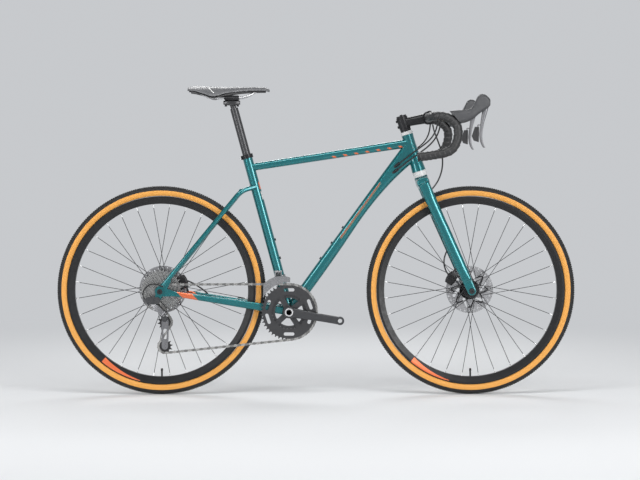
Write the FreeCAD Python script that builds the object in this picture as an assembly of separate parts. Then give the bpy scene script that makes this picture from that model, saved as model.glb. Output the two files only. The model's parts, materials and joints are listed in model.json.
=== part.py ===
"""A gravel bike, built as the separate pieces that come apart on a bench.

Millimetres. X points forward, Y to the rider's left, Z up. The origin is on the ground, midway
between the axles, in the centre plane. The drive side is at minus Y.
"""
import FreeCAD
import Part
import math
import os

Vector = FreeCAD.Vector
ACROSS = Vector(0, 1, 0)
UPRIGHT = Vector(0, 0, 1)
FORWARD = Vector(1, 0, 0)
ORIGIN = Vector(0, 0, 0)

# Fits shared by all pieces
cut_overrun = 3.0
running_clearance = 0.05
fixed_clearance = 0.05
side_clearance = 0.4
loft_degree = 2
round_limit_share = 0.49
bend_share = 0.45

# Stance
tyre_radius = 351.0
wheel_base = 1040.0
bottom_bracket_drop = 70.0
chainstay_length = 435.0
head_angle = math.radians(72.0)
fork_rake = 42.0
seat_angle = math.radians(74.8)

# Tyre and rim
tyre_section_radius = 20.0
tyre_wall = 2.4
tread_depth = 2.0
bead_radius = 311.0
bead_height = 5.0
bead_thickness = 3.0
rim_outer_radius = 316.5
rim_inner_radius = 291.0
rim_half_width = 13.5
rim_inner_half_width = 8.5
rim_wall = 2.0
rim_flange_width = 2.6
valve_radius = 3.0
valve_length = 38.0
valve_cap_radius = 3.8
valve_cap_length = 9.0

# Spokes
spoke_count = 32
spoke_crosses = 3
spoke_radius = 1.0
spoke_head_radius = 1.9
spoke_head_length = 1.2
nipple_radius = 2.1
nipple_length = 13.0
nipple_share_outside = 0.75

# Hubs
axle_radius = 6.0
hub_bore_radius = 11.0
hub_body_radius = 15.0
flange_thickness = 2.4
front_flange_radius = 26.0
front_hole_radius = 22.5
rear_flange_radius = 27.5
rear_hole_radius = 24.0
front_left_flange = 20.0
front_right_flange = 34.0
rear_left_flange = 35.0
rear_right_flange = 18.0
front_hub_half = 44.0
rear_hub_left = 62.0
rear_hub_right = 22.0
front_spacing = 100.0
rear_spacing = 142.0
spoke_outer_offset = 3.5
spoke_inner_offset = 2.5
flange_foot_height = 3.0
flange_foot_length = 6.0
bearing_width = 7.0
end_cap_radius = 9.5
axle_head_radius = 9.0
axle_head_length = 4.0

# Rotors
rotor_radius = 80.0
rotor_band = 15.0
rotor_thickness = 1.8
rotor_hole_radius = 2.4
rotor_hole_inset_shares = (0.2, 0.8)
rotor_windows = 6
rotor_holes_per_window = 5
rotor_window_radius = 4.5
rotor_window_inner = 38.0
rotor_window_outer = 57.0
rotor_window_turn = math.radians(22.0)
rotor_bore_radius = 16.0
front_rotor_place = 39.5
rear_rotor_place = 55.5
lockring_radius = 20.0
lockring_height = 4.0

# Calipers and pads
caliper_length = 44.0
caliper_height = 30.0
caliper_width = 26.0
caliper_slot = 9.0
caliper_round = 6.0
caliper_station_shares = (0.0, 0.2, 0.8, 1.0)
caliper_size_shares = (0.8, 1.0, 1.0, 0.8)
caliper_foot_length = 30.0
caliper_foot_width = 8.0
caliper_inset = 8.0
pad_length = 22.0
pad_height = 15.0
pad_thickness = 2.8
pad_gap = 0.6
front_caliper_angle = math.radians(148.0)
rear_caliper_angle = math.radians(21.0)

# Main tubes
head_tube_start = 435.0
head_tube_length = 129.0
head_tube_bottom_radius = 24.0
head_tube_waist_radius = 18.6
head_tube_top_radius = 20.0
head_tube_bore_top = 17.2
head_tube_bore_bottom = 21.2
head_tube_taper = 62.0
head_tube_station_shares = (0.0, 0.3, 0.6, 1.0)
head_tube_flare_shares = (1.0, 0.4, 0.0)
seat_tube_length = 543.0
seat_tube_radius = 16.6
seat_tube_bore_depth = 420.0
seat_post_radius = 13.6
shell_radius = 21.0
shell_bore_radius = 17.4
shell_width = 68.0
tube_wall = 2.0
top_tube_seat_place = 500.0
top_tube_head_place = 99.0
top_tube_height = 27.0
top_tube_width = 34.0
top_tube_station_shares = (0.0, 0.35, 0.75, 1.0)
top_tube_height_shares = (0.92, 0.95, 1.0, 1.08)
top_tube_width_shares = (0.86, 1.0, 1.05, 0.98)
top_tube_round_share = 0.42
down_tube_angle = math.radians(54.2)
down_tube_length = 695.0
down_tube_depth = 35.5
down_tube_width = 42.0
down_tube_station_shares = (0.0, 0.45, 0.7, 0.84, 0.93, 1.0)
down_tube_depth_shares = (1.02, 1.0, 1.0, 1.32, 1.66, 1.72)
down_tube_drop_shares = (0.0, 0.0, 0.02, 0.2, 0.4, 0.44)
down_tube_width_shares = (1.04, 1.0, 0.96, 0.9, 0.86, 0.84)
down_tube_round_share = 0.42

# Rear triangle
chainstay_station_shares = (0.03, 0.26, 0.55, 0.85, 0.93)
chainstay_spread = 75.0
chainstay_spread_shares = (0.385, 0.45, 0.69, 0.965, 1.0)
chainstay_height = 27.0
chainstay_height_shares = (1.0, 0.96, 0.8, 0.64, 0.6)
chainstay_width = 16.0
chainstay_width_shares = (1.0, 0.95, 0.9, 0.8, 0.5)
chainstay_round_share = 0.44
seatstay_radius = 8.0
seatstay_foot_forward = 6.0
seatstay_foot_height = 14.0
seatstay_bend_forward = 268.0
seatstay_bend_height = 334.0
seatstay_bend_spread = 31.0
seatstay_mid_share = 0.3
seatstay_mid_spread = 68.0
seatstay_top_place = 433.0
seatstay_top_spread = 12.0
bridge_radius = 7.0
chainstay_bridge_gap = 14.0
dropout_thickness = 8.0
dropout_radius = 17.0
dropout_length = 46.0
hanger_thickness = 6.0
hanger_radius = 12.5
hanger_bolt_radius = 5.0
hanger_back = 8.0
hanger_drop = 29.0
hanger_end_radius = 9.5

# Seat clamp, seatpost and saddle
seat_clamp_height = 13.0
seat_clamp_wall = 3.4
seat_clamp_lip = 2.0
seat_clamp_slot = 2.4
seat_clamp_ear = 9.0
seat_clamp_bolt_radius = 2.0
seat_clamp_bolt_head = 3.4
seat_post_top = 706.0
seat_post_length = 320.0
seat_post_wall = 2.2
post_neck_share = 0.7
post_head_length = 56.0
post_head_width = 34.0
post_head_height = 17.0
post_head_round = 5.0
post_head_station_shares = (0.0, 0.25, 0.75, 1.0)
post_head_size_shares = (0.7, 1.0, 1.0, 0.7)
rail_radius = 3.5
rail_spread = 22.0
rail_height = 997.0
rail_place = -283.0
rail_end_shares = (0.13, 0.83)
rail_end_spread_shares = (1.2, 0.5)
rail_end_drop_share = 0.045
rail_straight_shares = (1.6, 0.9)
clamp_length = 50.0
clamp_plate = 4.0
clamp_width = 56.0
clamp_bolt_radius = 3.0
clamp_bolt_head = 4.2
clamp_bolt_reach = 20.0
clamp_bolt_length = 26.0
saddle_rear = -431.0
saddle_length = 276.0
saddle_width = 145.0
saddle_top = 1037.0
saddle_station_shares = (0.0, 0.03, 0.1, 0.22, 0.33, 0.42, 0.58, 0.8, 0.95, 1.0)
saddle_width_shares = (0.6, 0.82, 0.97, 1.0, 0.9, 0.76, 0.53, 0.32, 0.25, 0.14)
saddle_crown = 46.0
saddle_crown_drop_shares = (0.17, 0.05, 0.0, 0.02, 0.05, 0.06, 0.06, 0.06, 0.1, 0.26)
saddle_edge_drop_shares = (0.36, 0.33, 0.38, 0.6, 0.78, 0.62, 0.42, 0.32, 0.3, 0.42)
saddle_pad = 11.0
saddle_edge_pad = 5.0
saddle_shell_thickness = 3.0
saddle_shell_gap = 0.3
saddle_shell_width_share = 0.94

# Headset and steerer
steerer_radius = 14.3
steerer_base_radius = 19.0
crown_seat = 413.0
headset_lower_radius = 23.0
headset_upper_radius = 21.0
headset_upper_height = 11.0
crown_race_height = 3.0
headset_bearing_height = 8.0
spacer_height = 10.0
spacer_radius = 18.0
stem_clamp_height = 40.0
stem_clamp_radius = 19.0
steerer_bolt_shares = (0.25, 0.75)
top_cap_height = 5.0
top_cap_radius = 17.0
top_cap_bolt_radius = 4.5
top_cap_bolt_height = 3.0

# Stem and handlebar
stem_length = 85.0
stem_rise = math.radians(10.9)
stem_width = 33.0
stem_depth = 31.0
stem_front_width = 38.0
stem_front_depth = 36.0
stem_round_share = 0.4
bar_clamp_radius = 15.9
bar_clamp_wall = 5.4
bar_clamp_width = 44.0
faceplate_gap = 1.6
stem_bolt_radius = 2.5
stem_bolt_head = 4.2
stem_bolt_length = 18.0
stem_bolt_spacing = 32.0
lug_reach_share = 0.55
lug_rise_share = 0.7
bar_radius = 11.9
bar_wall = 2.0
bar_centre_half = 42.0
bar_taper = 40.0
bar_hood_spread = 215.0
bar_end_spread = 240.0
bar_reach = 86.0
bar_drop = 133.0
bar_top_corner_share = 0.86
bar_ramp_share = 0.53
bar_hook_reach_shares = (0.93, 1.0, 0.86, 0.52, -0.5)
bar_hook_drop_shares = (0.2, 0.44, 0.75, 0.93, 1.0)
tape_thickness = 3.4
tape_start = 78.0
plug_length = 6.0
plug_radius = 15.0

# Levers and hoods
hood_start = 74.0
hood_length = 114.0
hood_base = -24.0
hood_rise = 95.0
hood_station_shares = (0.0, 0.32, 0.49, 0.58, 0.675, 0.81, 0.93, 1.0)
hood_tilts = tuple(math.radians(a) for a in (40.0, 24.0, 10.0, 3.0, 0.0, 0.0, 0.0, 0.0))
hood_low_shares = (0.0, 0.07, 0.15, 0.22, 0.31, 0.42, 0.51, 0.6)
hood_high_shares = (0.42, 0.46, 0.54, 0.74, 0.96, 1.0, 0.92, 0.82)
hood_width = 36.0
hood_width_shares = (0.94, 1.0, 0.98, 0.94, 0.9, 0.84, 0.76, 0.58)
hood_round_share = 0.4
hood_wall = 2.6
lever_pivot_reach = 175.0
lever_pivot_height = 39.0
lever_pin_radius = 2.5
lever_head_radius = 9.0
lever_head_width = 13.0
lever_length = 142.0
lever_station_shares = (0.0, 0.27, 0.5, 0.78, 0.92, 1.0)
lever_back = 17.0
lever_back_shares = (-0.13, 0.44, 0.82, 0.97, 0.7, 0.3)
lever_depth = 9.0
lever_depth_shares = (1.9, 1.7, 1.15, 0.95, 0.85, 0.7)
lever_width = 15.0
lever_width_shares = (0.86, 0.95, 1.0, 0.95, 0.9, 0.7)
lever_round_share = 0.38
lever_room_back = 36.0
lever_room_drop = 48.0
paddle_top = 74.0
paddle_bottom = 124.0
paddle_depth = 20.0
paddle_thickness = 4.0
paddle_gap = 1.2
paddle_pin_radius = 2.0

# Fork
leg_top_place = 392.0
leg_depth = 35.0
leg_station_shares = (0.0, 0.22, 0.6, 0.9)
leg_spread = 58.5
leg_spread_shares = (0.68, 0.76, 0.9, 0.99)
leg_width = 24.0
leg_width_shares = (1.1, 0.95, 0.83, 0.68)
leg_depth_shares = (1.12, 1.0, 0.97, 0.94)
leg_round_share = 0.42
fork_tip_radius = 15.0
fork_tip_thickness = 12.0
fork_tip_height = 44.0
fork_tip_depth_share = 0.96
crown_depth = 46.0
crown_height = 36.0
crown_round = 14.0
crown_half_width = 44.0
crown_station_shares = (-1.0, -0.5, 0.5, 1.0)
crown_size_shares = (0.86, 1.0, 1.0, 0.86)
tyre_clearance = 8.0
tyre_gap_half = 27.0

# Crankset
crank_length = 172.5
crank_angle = math.radians(-9.5)
spindle_radius = 12.0
spindle_bore_radius = 9.5
cup_radius = 22.0
cup_length = 9.5
cup_sleeve_length = 20.0
bb_bearing_width = 7.0
arm_inner_place = 45.0
arm_hub_radius = 19.0
arm_hub_outer = 71.0
spider_boss_outer = 57.0
arm_end_inner = 63.0
arm_end_outer = 76.0
arm_end_radius = 14.0
arm_width = 30.0
arm_width_shares = (1.1, 0.95, 0.85, 0.88)
arm_thickness = 15.0
arm_station_shares = (0.06, 0.35, 0.75, 1.0)
arm_round_share = 0.36
pedal_hole_radius = 7.14
crank_cap_radius = 13.0
crank_cap_height = 3.0
chain_line_outer = 50.5
chain_line_inner = 43.0
ring_thickness = 1.8
outer_teeth = 46
inner_teeth = 30
outer_bolt_circle = 55.0
inner_bolt_circle = 40.0
ring_bolt_radius = 4.0
ring_bolt_head = 5.2
ring_bolt_proud = 1.6
ring_tab_radius = 9.0
ring_tab_root_share = 1.3
outer_ring_bore = 57.0
inner_ring_bore = 47.0
ring_window_radius = 5.4
ring_window_circle = 75.0
ring_window_half_turn = math.radians(9.5)
ring_window_angles = tuple(math.radians(a) for a in (20.0, 90.0, 162.0, 198.0, 270.0, 342.0))
spider_arm_width = 19.0
spider_angles = tuple(math.radians(a) for a in (48.0, 128.0, 232.0, 312.0))

# Chain and sprockets
pitch = 12.7
roller_radius = 3.85
roller_clearance = 0.15
tooth_height = 3.4
tooth_tip_width = 1.7
seat_spread = math.radians(60.0)
chain_pin_radius = 1.8
chain_inner_width = 2.3
chain_plate = 0.75
chain_plate_gap = 0.05
chain_plate_radius = 4.2
chain_waist = 3.3
chain_plate_bend_share = 0.86
sprocket_teeth = (11, 13, 15, 17, 19, 21, 23, 25, 27, 30, 34)
sprocket_step = 3.74
sprocket_thickness = 1.6
small_sprocket_place = 62.5
freehub_radius = 16.2
spacer_ring_radius = 18.0
sprocket_window_teeth = 19
sprocket_rim = 11.0
sprocket_window_count = 6
sprocket_spoke_width = 7.0
lock_ring_radius = 15.8
lock_ring_height = 2.0
freehub_overhang = 1.5

# Rear derailleur
pulley_teeth = 11
pulley_thickness = 1.9
pulley_hub_radius = 6.0
pulley_bolt_radius = 2.5
pulley_bolt_head = 4.5
pulley_bolt_height = 1.6
guide_back = 16.5
guide_drop = 103.0
cage_pivot_rise = 12.0
cage_length = 80.6
cage_plate = 1.6
cage_gap = 7.6
cage_plate_radius = 12.0
cage_low_share = 0.9
cage_window_shares = (0.35, 0.65)
cage_window_radius_shares = (0.55, 0.45)
swing_limit = 0.5
swing_steps = 60
cage_pivot_radius = 6.0
knuckle_start = 69.0
knuckle_end = 93.0
knuckle_radius = 9.5
link_axle_back = -32.0
link_axle_drop = 34.0
link_axle_place = 72.0
link_reach = 44.0
link_fall = 40.0
link_out = 12.0
link_half_gap = 6.0
link_barrel_radius = 4.4
link_pin_radius = 2.2
link_barrel_length = 18.0
link_plate_thickness = 3.6
link_plate_width = 15.0
link_station_shares = (0.02, 0.5, 0.98)
link_width_shares = (0.9, 1.15, 0.9)
link_bulge_shares = (0.0, 1.0, 0.0)
outer_link_bulge = 3.0
ear_thickness = 3.0
ear_radius = 5.6
ear_gap = 0.4
web_thickness = 4.0
web_offset = 8.0
b_boss_radius = 11.0
b_boss_outer = 97.0
b_bolt_head = 6.0
barrel_adjuster_radius = 4.0
barrel_adjuster_length = 13.0

# Front derailleur
band_height = 12.0
band_wall = 2.6
band_place = 118.0
fd_pivot_place = 27.5
fd_pivot_rise = 113.0
fd_pivot_forward = -36.0
fd_pin_radius = 2.2
fd_link_length = 28.0
fd_link_lean = math.radians(40.3)
fd_barrel_radius = 4.2
fd_link_width = 16.0
fd_ear_thickness = 3.5
fd_body_depth = 15.0
fd_cage_inner = 45.6
fd_cage_outer = 55.8
fd_plate = 1.2
fd_tooth_gap = 3.0
fd_cage_start = math.radians(88.0)
fd_cage_end = math.radians(150.0)
fd_cage_height = 15.0
fd_tail_height = 42.0
fd_arm_width = 12.0
fd_foot_share = 0.8

# Small frame fittings
bottle_bolt_radius = 2.5
bottle_bolt_head = 4.2
bottle_bolt_height = 3.4
bottle_bolt_depth = 6.0
down_tube_bolt_places = (206.0, 270.0, 334.0)
seat_tube_bolt_places = (181.0, 245.0)
port_radius = 5.0
port_reach = 24.0

# Cables and hoses, with their routes as points on the right side
housing_radius = 2.5
hose_radius = 2.6
right_shift_route = ((396, -198, 913.4), (394, -190, 896), (386, -172, 872), (370, -142, 850),
                     (345, -106, 830), (317, -68, 809), (292, -38, 788), (276, -23, 776), (262, -14, 765))
left_shift_route = ((396, 198, 913.4), (394, 190, 896), (386, 172, 872), (370, 142, 850),
                    (345, 106, 830), (317, 68, 809), (292, 38, 788), (276, 23, 776), (262, 14, 765))
right_hose_route = ((405, -204, 913.4), (403, -195, 893), (395, -176, 866), (377, -145, 840),
                    (350, -108, 817), (320, -71, 795), (293, -41, 773), (273, -24, 757), (256, -14, 745))
front_hose_route = ((405, 204, 913.4), (408, 196, 895), (419, 176, 862), (430, 146, 826), (434, 114, 790),
                    (429, 84, 753), (415, 62, 719), (396, 48, 694), (380, 42, 680))
front_hose_end_route = ((452, 52, 494), (441, 50, 476), (434, 47, 454), (434, 44, 432), (441, 42, 412),
                        (449.5, 41, 399.5))
rear_hose_end_route = ((-360, 60, 328), (-378, 61, 345), (-401, 61, 361), (-424, 59, 375), (-440.5, 57, 381))
rear_housing_route = ((-509, -85.9, 368), (-530, -87, 377), (-553, -89, 376), (-571, -91, 361),
                      (-577, -92, 341), (-571, -92, 325))

# Places worked out from the sizes above
axle_height = tyre_radius
front_axle = Vector(wheel_base / 2, 0, axle_height)
rear_axle = Vector(-wheel_base / 2, 0, axle_height)
bracket_height = axle_height - bottom_bracket_drop
bracket_x = rear_axle.x + math.sqrt(chainstay_length ** 2 - bottom_bracket_drop ** 2)
bracket = Vector(bracket_x, 0, bracket_height)
seat_direction = Vector(-math.cos(seat_angle), 0, math.sin(seat_angle))
seat_forward = Vector(math.sin(seat_angle), 0, math.cos(seat_angle))
steer_direction = Vector(-math.cos(head_angle), 0, math.sin(head_angle))
steer_forward = Vector(math.sin(head_angle), 0, math.cos(head_angle))
steer_base = front_axle - steer_forward * fork_rake
head_tube_end = head_tube_start + head_tube_length
upper_cup_end = head_tube_end + headset_upper_height
spacer_end = upper_cup_end + side_clearance + spacer_height
stem_clamp_end = spacer_end + stem_clamp_height
stem_direction = Vector(math.cos(stem_rise), 0, math.sin(stem_rise))
stem_up = Vector(-math.sin(stem_rise), 0, math.cos(stem_rise))
stem_root = steer_base + steer_direction * (spacer_end + stem_clamp_height / 2)
bar_centre = stem_root + stem_direction * stem_length
front_half_spacing = front_spacing / 2
rear_half_spacing = rear_spacing / 2
guide_centre = Vector(rear_axle.x + guide_back, -small_sprocket_place, axle_height - guide_drop)
cage_pivot = guide_centre + UPRIGHT * cage_pivot_rise
link_root = Vector(rear_axle.x + link_axle_back, -link_axle_place, axle_height - link_axle_drop)
link_tip = link_root + Vector(link_reach, -link_out, -link_fall)
link_axis = Vector(link_fall, 0, link_reach).normalize()
hanger_bolt = Vector(rear_axle.x - hanger_back, 0, axle_height - hanger_drop)
fd_pivot = bracket + Vector(fd_pivot_forward, -fd_pivot_place, fd_pivot_rise)
fd_tip = fd_pivot + Vector(0, -math.sin(fd_link_lean), math.cos(fd_link_lean)) * fd_link_length
lever_pivot = Vector(bar_centre.x + lever_pivot_reach, -bar_hood_spread, bar_centre.z + lever_pivot_height)
post_top = bracket + seat_direction * seat_post_top
sprocket_places = tuple(-small_sprocket_place + i * sprocket_step for i in range(len(sprocket_teeth)))


# Shape helpers

def on_steer(distance):
    return steer_base + steer_direction * distance


def on_seat(distance):
    return bracket + seat_direction * distance


def at_side(point, place):
    return Vector(point.x, place, point.z)


def rod(start, end, radius):
    return Part.makeCylinder(radius, (end - start).Length, start, end - start)


def pipe(start, end, outer_radius, inner_radius):
    return rod(start, end, outer_radius).cut(rod(start, end, inner_radius))


def across_rod(centre, place_from, place_to, radius):
    return rod(at_side(centre, place_from), at_side(centre, place_to), radius)


def across_ring(centre, place_from, place_to, outer_radius, inner_radius):
    return across_rod(centre, place_from, place_to, outer_radius).cut(
        across_rod(centre, place_from, place_to, inner_radius))


def fuse(shapes):
    body = shapes[0]
    if len(shapes) > 1:
        body = body.multiFuse(shapes[1:])
    return body.removeSplitter()


def mirrored(shape):
    return shape.mirror(ORIGIN, ACROSS)


def both_sides(shape):
    return [shape, mirrored(shape)]


def turned(origin, axis, profile):
    """A solid of revolution from points of (place along the axis, radius)."""
    side = axis.cross(ACROSS)
    if side.Length < 0.5:
        side = FORWARD
    side = Vector(side).normalize()
    points = [origin + axis * place + side * radius for place, radius in profile]
    face = Part.Face(Part.makePolygon(points + [points[0]]))
    return face.revolve(origin, axis, 360)


def round_section(centre, across, up, width, height, radius):
    """A rounded rectangle as one closed wire of lines and arcs."""
    radius = min(radius, round_limit_share * width, round_limit_share * height)
    half_w, half_h = width / 2, height / 2
    turn = radius * (1 - math.sqrt(0.5))

    def place(a, b):
        return centre + across * a + up * b

    edges = []
    corners = ((1, 1), (-1, 1), (-1, -1), (1, -1))
    ends = []
    for sa, sb in corners:
        side_end = place(sa * half_w, sb * (half_h - radius))
        flat_end = place(sa * (half_w - radius), sb * half_h)
        middle = place(sa * (half_w - turn), sb * (half_h - turn))
        ends.append((side_end, middle, flat_end) if sa * sb > 0 else (flat_end, middle, side_end))
    for i, (first, middle, last) in enumerate(ends):
        edges.append(Part.Arc(first, middle, last).toShape())
        edges.append(Part.LineSegment(last, ends[(i + 1) % len(ends)][0]).toShape())
    return Part.Wire(edges)


def circle_wire(centre, axis, radius):
    return Part.Wire(Part.makeCircle(radius, centre, axis))


def loft(sections):
    """A smooth skin through the sections, of low degree so that it doesn't swing out between them."""
    return Part.makeLoft(sections, True, False, False, loft_degree)


def bent_path(points):
    """Straight runs joined by tangent arcs as large as the shorter run allows."""
    edges = []
    last = points[0]
    for before, here, after in zip(points, points[1:], points[2:]):
        way_in = Vector(here - before)
        way_out = Vector(after - here)
        tangent = bend_share * min(way_in.Length, way_out.Length)
        way_in.normalize()
        way_out.normalize()
        turn = way_in.getAngle(way_out)
        radius = tangent / math.tan(turn / 2)
        inward = Vector(way_out - way_in).normalize()
        first = here - way_in * tangent
        final = here + way_out * tangent
        middle = here + inward * (radius / math.cos(turn / 2) - radius)
        edges.append(Part.LineSegment(last, first).toShape())
        edges.append(Part.Arc(first, middle, final).toShape())
        last = final
    edges.append(Part.LineSegment(last, points[-1]).toShape())
    return Part.Wire(edges)


def bent_rod(points, radius):
    path = bent_path(points)
    start = Vector(points[1] - points[0])
    return path.makePipeShell([circle_wire(points[0], start, radius)], True, False)


def route_tube(route, radius):
    return bent_rod([Vector(*point) for point in route], radius)


def slab(points, depth):
    """A flat plate: a polygon of points pushed along a vector."""
    return Part.Face(Part.makePolygon(points + [points[0]])).extrude(depth)


def capsule(first, second, first_radius, second_radius, depth):
    """A plate with two round ends, the outline of two discs and their common tangents."""
    span = Vector(second - first)
    normal = Vector(depth).normalize()
    along = Vector(span).normalize()
    side = normal.cross(along)
    lean = math.asin((first_radius - second_radius) / span.Length)
    tangent_up = along * math.sin(lean) + side * math.cos(lean)
    tangent_down = along * math.sin(lean) - side * math.cos(lean)
    a = first + tangent_up * first_radius
    b = second + tangent_up * second_radius
    c = second + tangent_down * second_radius
    d = first + tangent_down * first_radius
    edges = [Part.LineSegment(a, b).toShape(),
             Part.Arc(b, second + along * second_radius, c).toShape(),
             Part.LineSegment(c, d).toShape(),
             Part.Arc(d, first - along * first_radius, a).toShape()]
    return Part.Face(Part.Wire(edges)).extrude(depth)


def polar(centre, angle, radius, place):
    return Vector(centre.x + radius * math.cos(angle), place, centre.z + radius * math.sin(angle))


def around(shape, centre, angle):
    """A copy turned about the across axis, positive from X towards Z."""
    return shape.copy().rotate(centre, ACROSS, -math.degrees(angle))


def bolt(seat, direction, shank_radius, shank_length, head_radius, head_height):
    """A bolt whose head sits on the seat and whose shank runs on along the direction."""
    along = Vector(direction).normalize()
    shank = rod(seat, seat + along * shank_length, shank_radius)
    return fuse([shank, rod(seat - along * head_height, seat, head_radius)])


# Wheels

def tyre(axle):
    """A hollow casing on two beads, turned about the axle."""
    middle = tyre_radius - tyre_section_radius
    lip = rim_outer_radius + side_clearance
    inner_radius = tyre_section_radius - tyre_wall

    def place(width, radius):
        return Vector(axle.x, width, axle.z + radius)

    drop = middle - lip
    outer_half = math.sqrt(tyre_section_radius ** 2 - drop ** 2)
    inner_half = math.sqrt(inner_radius ** 2 - drop ** 2)
    bead_out = rim_half_width - rim_flange_width - fixed_clearance
    bead_in = bead_out - bead_thickness
    outline = [
        Part.Arc(place(-outer_half, lip), place(0, tyre_radius), place(outer_half, lip)).toShape(),
        Part.LineSegment(place(outer_half, lip), place(bead_out, lip)).toShape(),
        Part.LineSegment(place(bead_out, lip), place(bead_out, bead_radius)).toShape(),
        Part.LineSegment(place(bead_out, bead_radius), place(bead_in, bead_radius)).toShape(),
        Part.LineSegment(place(bead_in, bead_radius), place(bead_in, lip)).toShape(),
        Part.LineSegment(place(bead_in, lip), place(inner_half, lip + bead_height)).toShape(),
        Part.Arc(place(inner_half, lip + bead_height), place(0, middle + inner_radius - tread_depth),
                 place(-inner_half, lip + bead_height)).toShape(),
        Part.LineSegment(place(-inner_half, lip + bead_height), place(-bead_in, lip)).toShape(),
        Part.LineSegment(place(-bead_in, lip), place(-bead_in, bead_radius)).toShape(),
        Part.LineSegment(place(-bead_in, bead_radius), place(-bead_out, bead_radius)).toShape(),
        Part.LineSegment(place(-bead_out, bead_radius), place(-bead_out, lip)).toShape(),
        Part.LineSegment(place(-bead_out, lip), place(-outer_half, lip)).toShape(),
    ]
    return Part.Face(Part.Wire(outline)).revolve(axle, ACROSS, 360)


def rim_hole_angle(index):
    return 2 * math.pi * (index + 0.5) / spoke_count + math.pi / 2


def spoke_ends(axle, index, flange_place, hole_radius):
    """The hub end and the rim end of one spoke, and whether it leads."""
    side = 1 if flange_place > 0 else -1
    pair = index // 2
    leading = pair % 2 == 0
    turn = spoke_crosses * 2 * math.pi / (spoke_count / 2)
    rim_angle = rim_hole_angle(index)
    hub_angle = rim_angle - turn if leading else rim_angle + turn
    offset = spoke_outer_offset if leading else -spoke_inner_offset
    hub_end = polar(axle, hub_angle, hole_radius, flange_place + side * offset)
    rim_end = polar(axle, rim_angle, rim_inner_radius + rim_wall, 0)
    return hub_end, rim_end, leading


def one_spoke(axle, index, flange_place, hole_radius):
    hub_end, rim_end, leading = spoke_ends(axle, index, flange_place, hole_radius)
    side = 1 if flange_place > 0 else -1
    inward = -side if leading else side
    elbow_reach = flange_place + inward * (flange_thickness / 2 + fixed_clearance)
    elbow_end = at_side(hub_end, elbow_reach)
    head_end = at_side(hub_end, elbow_reach + inward * spoke_head_length)
    along = Vector(rim_end - hub_end).normalize()
    nipple_end = rim_end - along * (nipple_length * nipple_share_outside)
    return fuse([
        rod(hub_end, rim_end, spoke_radius),
        Part.makeSphere(spoke_radius, hub_end),
        rod(hub_end, elbow_end, spoke_radius),
        rod(elbow_end, head_end, spoke_head_radius),
        rod(nipple_end, rim_end + along * (nipple_length * (1 - nipple_share_outside)), nipple_radius),
    ])


def flange_of(index, left_flange, right_flange):
    return -right_flange if index % 2 == 0 else left_flange


def spokes(axle, left_flange, right_flange, hole_radius):
    """Two spokes of each flange are made, and turned round the axle for the rest."""
    group = 4
    pieces = []
    for index in range(group):
        first = one_spoke(axle, index, flange_of(index, left_flange, right_flange), hole_radius)
        for copy in range(spoke_count // group):
            pieces.append(around(first, axle, copy * group * 2 * math.pi / spoke_count))
    return pieces


def rim(axle, left_flange, right_flange, hole_radius):
    """A hollow box section with a tyre well, nipple holes and a valve."""
    well = bead_radius - fixed_clearance
    lip_in = rim_half_width - rim_flange_width
    section = [(-rim_half_width, rim_outer_radius), (-lip_in, rim_outer_radius), (-lip_in, well),
               (lip_in, well), (lip_in, rim_outer_radius), (rim_half_width, rim_outer_radius),
               (rim_half_width, well - rim_wall), (rim_inner_half_width, rim_inner_radius),
               (-rim_inner_half_width, rim_inner_radius), (-rim_half_width, well - rim_wall)]
    hollow = [(-rim_half_width + rim_wall, well - rim_wall), (rim_half_width - rim_wall, well - rim_wall),
              (rim_inner_half_width - rim_wall / 2, rim_inner_radius + rim_wall),
              (-rim_inner_half_width + rim_wall / 2, rim_inner_radius + rim_wall)]
    hoop = turned(axle, ACROSS, section).cut(turned(axle, ACROSS, hollow))
    holes = []
    for index in range(spoke_count):
        flange = flange_of(index, left_flange, right_flange)
        hub_end, rim_end, _ = spoke_ends(axle, index, flange, hole_radius)
        reach = Vector(rim_end - hub_end).normalize() * (rim_wall + cut_overrun)
        holes.append(rod(rim_end - reach, rim_end + reach, nipple_radius + fixed_clearance))
    valve_top = axle - UPRIGHT * well
    stem_end = valve_top + UPRIGHT * valve_length
    holes.append(rod(valve_top - UPRIGHT * cut_overrun, stem_end, valve_radius + fixed_clearance))
    valve = fuse([rod(valve_top, stem_end, valve_radius),
                  rod(stem_end, stem_end + UPRIGHT * valve_cap_length, valve_cap_radius)])
    return [hoop.cut(Part.makeCompound(holes)), valve]


def hub_shell(axle, left_end, right_end, left_flange, right_flange, flange_radius, hole_radius):
    """A turned shell with two drilled flanges and a bearing at each end."""
    half_flange = flange_thickness / 2
    foot = hub_body_radius + flange_foot_height
    profile = [(-right_end, hub_bore_radius), (-right_end, hub_body_radius),
               (-right_flange - half_flange, hub_body_radius), (-right_flange - half_flange, flange_radius),
               (-right_flange + half_flange, flange_radius), (-right_flange + half_flange, foot),
               (-right_flange + flange_foot_length, hub_body_radius),
               (left_flange - flange_foot_length, hub_body_radius),
               (left_flange - half_flange, foot), (left_flange - half_flange, flange_radius),
               (left_flange + half_flange, flange_radius), (left_flange + half_flange, hub_body_radius),
               (left_end, hub_body_radius), (left_end, hub_bore_radius)]
    shell = turned(axle, ACROSS, profile)
    holes = []
    for index in range(spoke_count):
        place = flange_of(index, left_flange, right_flange)
        hub_end, _, _ = spoke_ends(axle, index, place, hole_radius)
        holes.append(across_rod(hub_end, place - flange_thickness, place + flange_thickness,
                                spoke_radius + fixed_clearance))
    bore = axle_radius + running_clearance
    bearings = [across_ring(axle, start, start + bearing_width, hub_bore_radius, bore)
                for start in (-right_end, left_end - bearing_width)]
    return [shell.cut(Part.makeCompound(holes))] + bearings


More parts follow.
